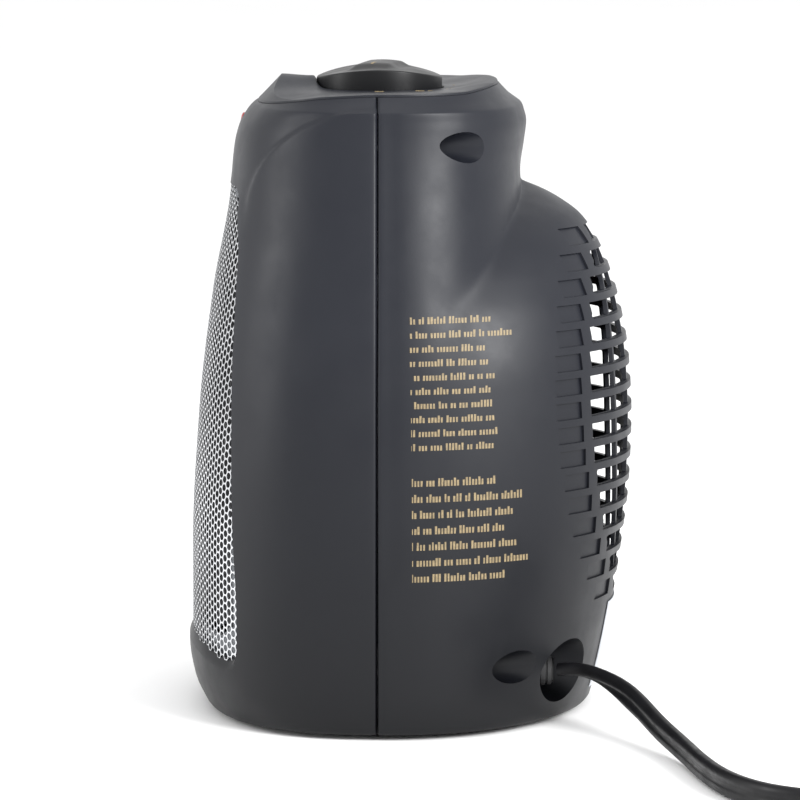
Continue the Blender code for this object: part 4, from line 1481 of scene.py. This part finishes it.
class HEATER_OT_small_parts(Build):
    """Lens, strain relief and screws"""

    bl_idname = "heater.small_parts"
    bl_label = "Small Parts"

    def build(self):
        self.lens()
        self.strain_relief()
        self.screws()

    def lens(self):
        front = SEAM_Y - smooth_table(FRONT_REACH, 215.5) + 2.1
        profile = [(4.0, front + 4.0), (4.0, front + 0.6)]
        for k in range(1, 9):
            a = math.pi / 2 * k / 8
            profile.append((4.0 * math.cos(a) + 0.02, front + 0.6 - 1.3 * math.sin(a)))
        lens = turned("lens", (0, 0, 215.5), "y", profile, red_lens(), 40)
        finish_piece(lens, "chassis", "red_lens", "indicator_lens", degrees=60.0)

    def strain_relief(self):
        centre = (CORD_WELL.x, 0, CORD_WELL.z)
        profile = [(6.6, 27.5), (6.6, 36.6), (8.2, 37.0), (8.4, 37.4), (8.4, 39.2), (8.1, 39.5), (6.6, 39.5)]
        for k in range(5):
            y = 40.2 + 2.4 * k
            r = 6.4 - 0.3 * k
            profile += [(r, y), (r, y + 1.3), (r - 0.8, y + 1.5), (r - 0.8, y + 2.2)]
        profile += [(5.0, 52.0), (3.4, 52.0), (3.4, 27.5)]
        relief = turned("cord_gland", centre, "y", profile, moulded_rubber(), 36, closed=True)
        finish_piece(relief, "chassis", "rubber", "strain_relief")

    def screws(self):
        names = [f"case_screw_{i}" for i in (1, 2, 3, 4)]
        places = [(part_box(n)[0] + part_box(n)[1]) / 2 for n in names]
        tips = [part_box(n)[1].y for n in names]
        head = self.screw_head()
        mesh = bpy.data.meshes.new("case_screws")
        mesh.from_pydata([(p.x, y, p.z) for p, y in zip(places, tips)], [], [])
        screws = link(bpy.data.objects.new("case_screws", mesh))
        group = bpy.data.node_groups.new("place_screws", "GeometryNodeTree")
        group.interface.new_socket("Geometry", in_out="INPUT", socket_type="NodeSocketGeometry")
        item = group.interface.new_socket("Screw", in_out="INPUT", socket_type="NodeSocketObject").identifier
        size = group.interface.new_socket("Size", in_out="INPUT", socket_type="NodeSocketFloat").identifier
        steel = group.interface.new_socket("Steel", in_out="INPUT", socket_type="NodeSocketMaterial")
        steel = steel.identifier
        group.interface.new_socket("Geometry", in_out="OUTPUT", socket_type="NodeSocketGeometry")
        new, join = group.nodes.new, group.links.new
        source, out = new("NodeGroupInput"), new("NodeGroupOutput")
        info = new("GeometryNodeObjectInfo")
        join(source.outputs["Screw"], info.inputs["Object"])
        place = new("GeometryNodeInstanceOnPoints")
        join(source.outputs["Geometry"], place.inputs["Points"])
        join(info.outputs["Geometry"], place.inputs["Instance"])
        scale = new("ShaderNodeCombineXYZ")
        for axis in ("X", "Y", "Z"):
            join(source.outputs["Size"], scale.inputs[axis])
        join(scale.outputs[0], place.inputs["Scale"])
        real = new("GeometryNodeRealizeInstances")
        paint = new("GeometryNodeSetMaterial")
        join(place.outputs[0], real.inputs[0])
        join(real.outputs[0], paint.inputs["Geometry"])
        join(source.outputs["Steel"], paint.inputs["Material"])
        join(paint.outputs[0], out.inputs[0])
        run = screws.modifiers.new("place", "NODES")
        run.node_group = group
        run[item] = head
        run[size] = 1.0
        run[steel] = screw_steel()
        graph = bpy.context.evaluated_depsgraph_get()
        result = bpy.data.meshes.new_from_object(screws.evaluated_get(graph))
        screws.modifiers.clear()
        screws.data = result
        bpy.data.objects.remove(head, do_unlink=True)
        finish_piece(screws, "chassis", "zinc_steel", *names)

    def screw_head(self):
        """Pan head with a cross recess, its top at the origin, facing +Y."""
        profile = (
            (1.5, -16.0), (1.5, -2.1), (3.2, -2.1), (3.2, -1.1), (2.9, -0.45), (2.2, -0.1), (1.0, 0.0),
        )
        screw = turned("screw", (0, 0, 0), "y", profile, screw_steel(), 28)
        for half_x, half_z in ((1.7, 0.35), (0.35, 1.7)):
            boolean(screw, round_box("cross", (-half_x, -1.3, -half_z), (half_x, 1.0, half_z), 0.05))
        return screw


FINISHES = {
    "casing": casing_plastic, "knob_black": knob_plastic, "steel_mesh": perforated_steel,
    "zinc_steel": zinc_steel, "aluminium": fin_aluminium, "ceramic": bare_ceramic,
    "resin_grey": grey_resin, "fan_black": fan_plastic, "brass": plug_brass, "red_lens": red_lens,
    "label_silver": label_foil, "cord_pvc": cord_sheath, "rubber": moulded_rubber,
    "wire_red": wire_sleeve,
}


class HEATER_OT_finishes(Build):
    """Node materials on every part that keeps its own shape"""

    bl_idname = "heater.finishes"
    bl_label = "Finishes"

    def build(self):
        for row in frame["record"]["subparts"]:
            obj = NODES[row["node"]]
            if obj.hide_render:
                continue
            obj.data.materials.clear()
            obj.data.materials.append(FINISHES[row["material_slot"]]())


OPERATORS = (
    HEATER_OT_stage, HEATER_OT_cord, HEATER_OT_front_shell, HEATER_OT_rear_shell, HEATER_OT_panel,
    HEATER_OT_knob, HEATER_OT_front_sheet, HEATER_OT_outlet_grid, HEATER_OT_print, HEATER_OT_small_parts,
    HEATER_OT_finishes,
)


class HEATER_PT_panel(bpy.types.Panel):
    """Lists the heater's operators and settings"""

    bl_idname = "HEATER_PT_panel"
    bl_label = "Ceramic Space Heater"
    bl_space_type = "VIEW_3D"
    bl_region_type = "UI"
    bl_category = "Heater"

    def draw(self, context):
        for group in (sizes(), colours()):
            for name in group.__annotations__:
                self.layout.prop(group, name)
        for operator in OPERATORS:
            self.layout.operator(operator.bl_idname)


CLASSES = (HeaterSizes, HeaterColours, *OPERATORS, HEATER_PT_panel)


def register():
    for cls in CLASSES:
        bpy.utils.register_class(cls)
    bpy.types.Scene.heater_sizes = PointerProperty(type=HeaterSizes)
    bpy.types.Scene.heater_colours = PointerProperty(type=HeaterColours)


def unregister():
    del bpy.types.Scene.heater_colours
    del bpy.types.Scene.heater_sizes
    for cls in reversed(CLASSES):
        bpy.utils.unregister_class(cls)


def main():
    register()
    for operator in OPERATORS:
        group, name = operator.bl_idname.split(".")
        getattr(getattr(bpy.ops, group), name)()


if __name__ == "__main__":
    main()
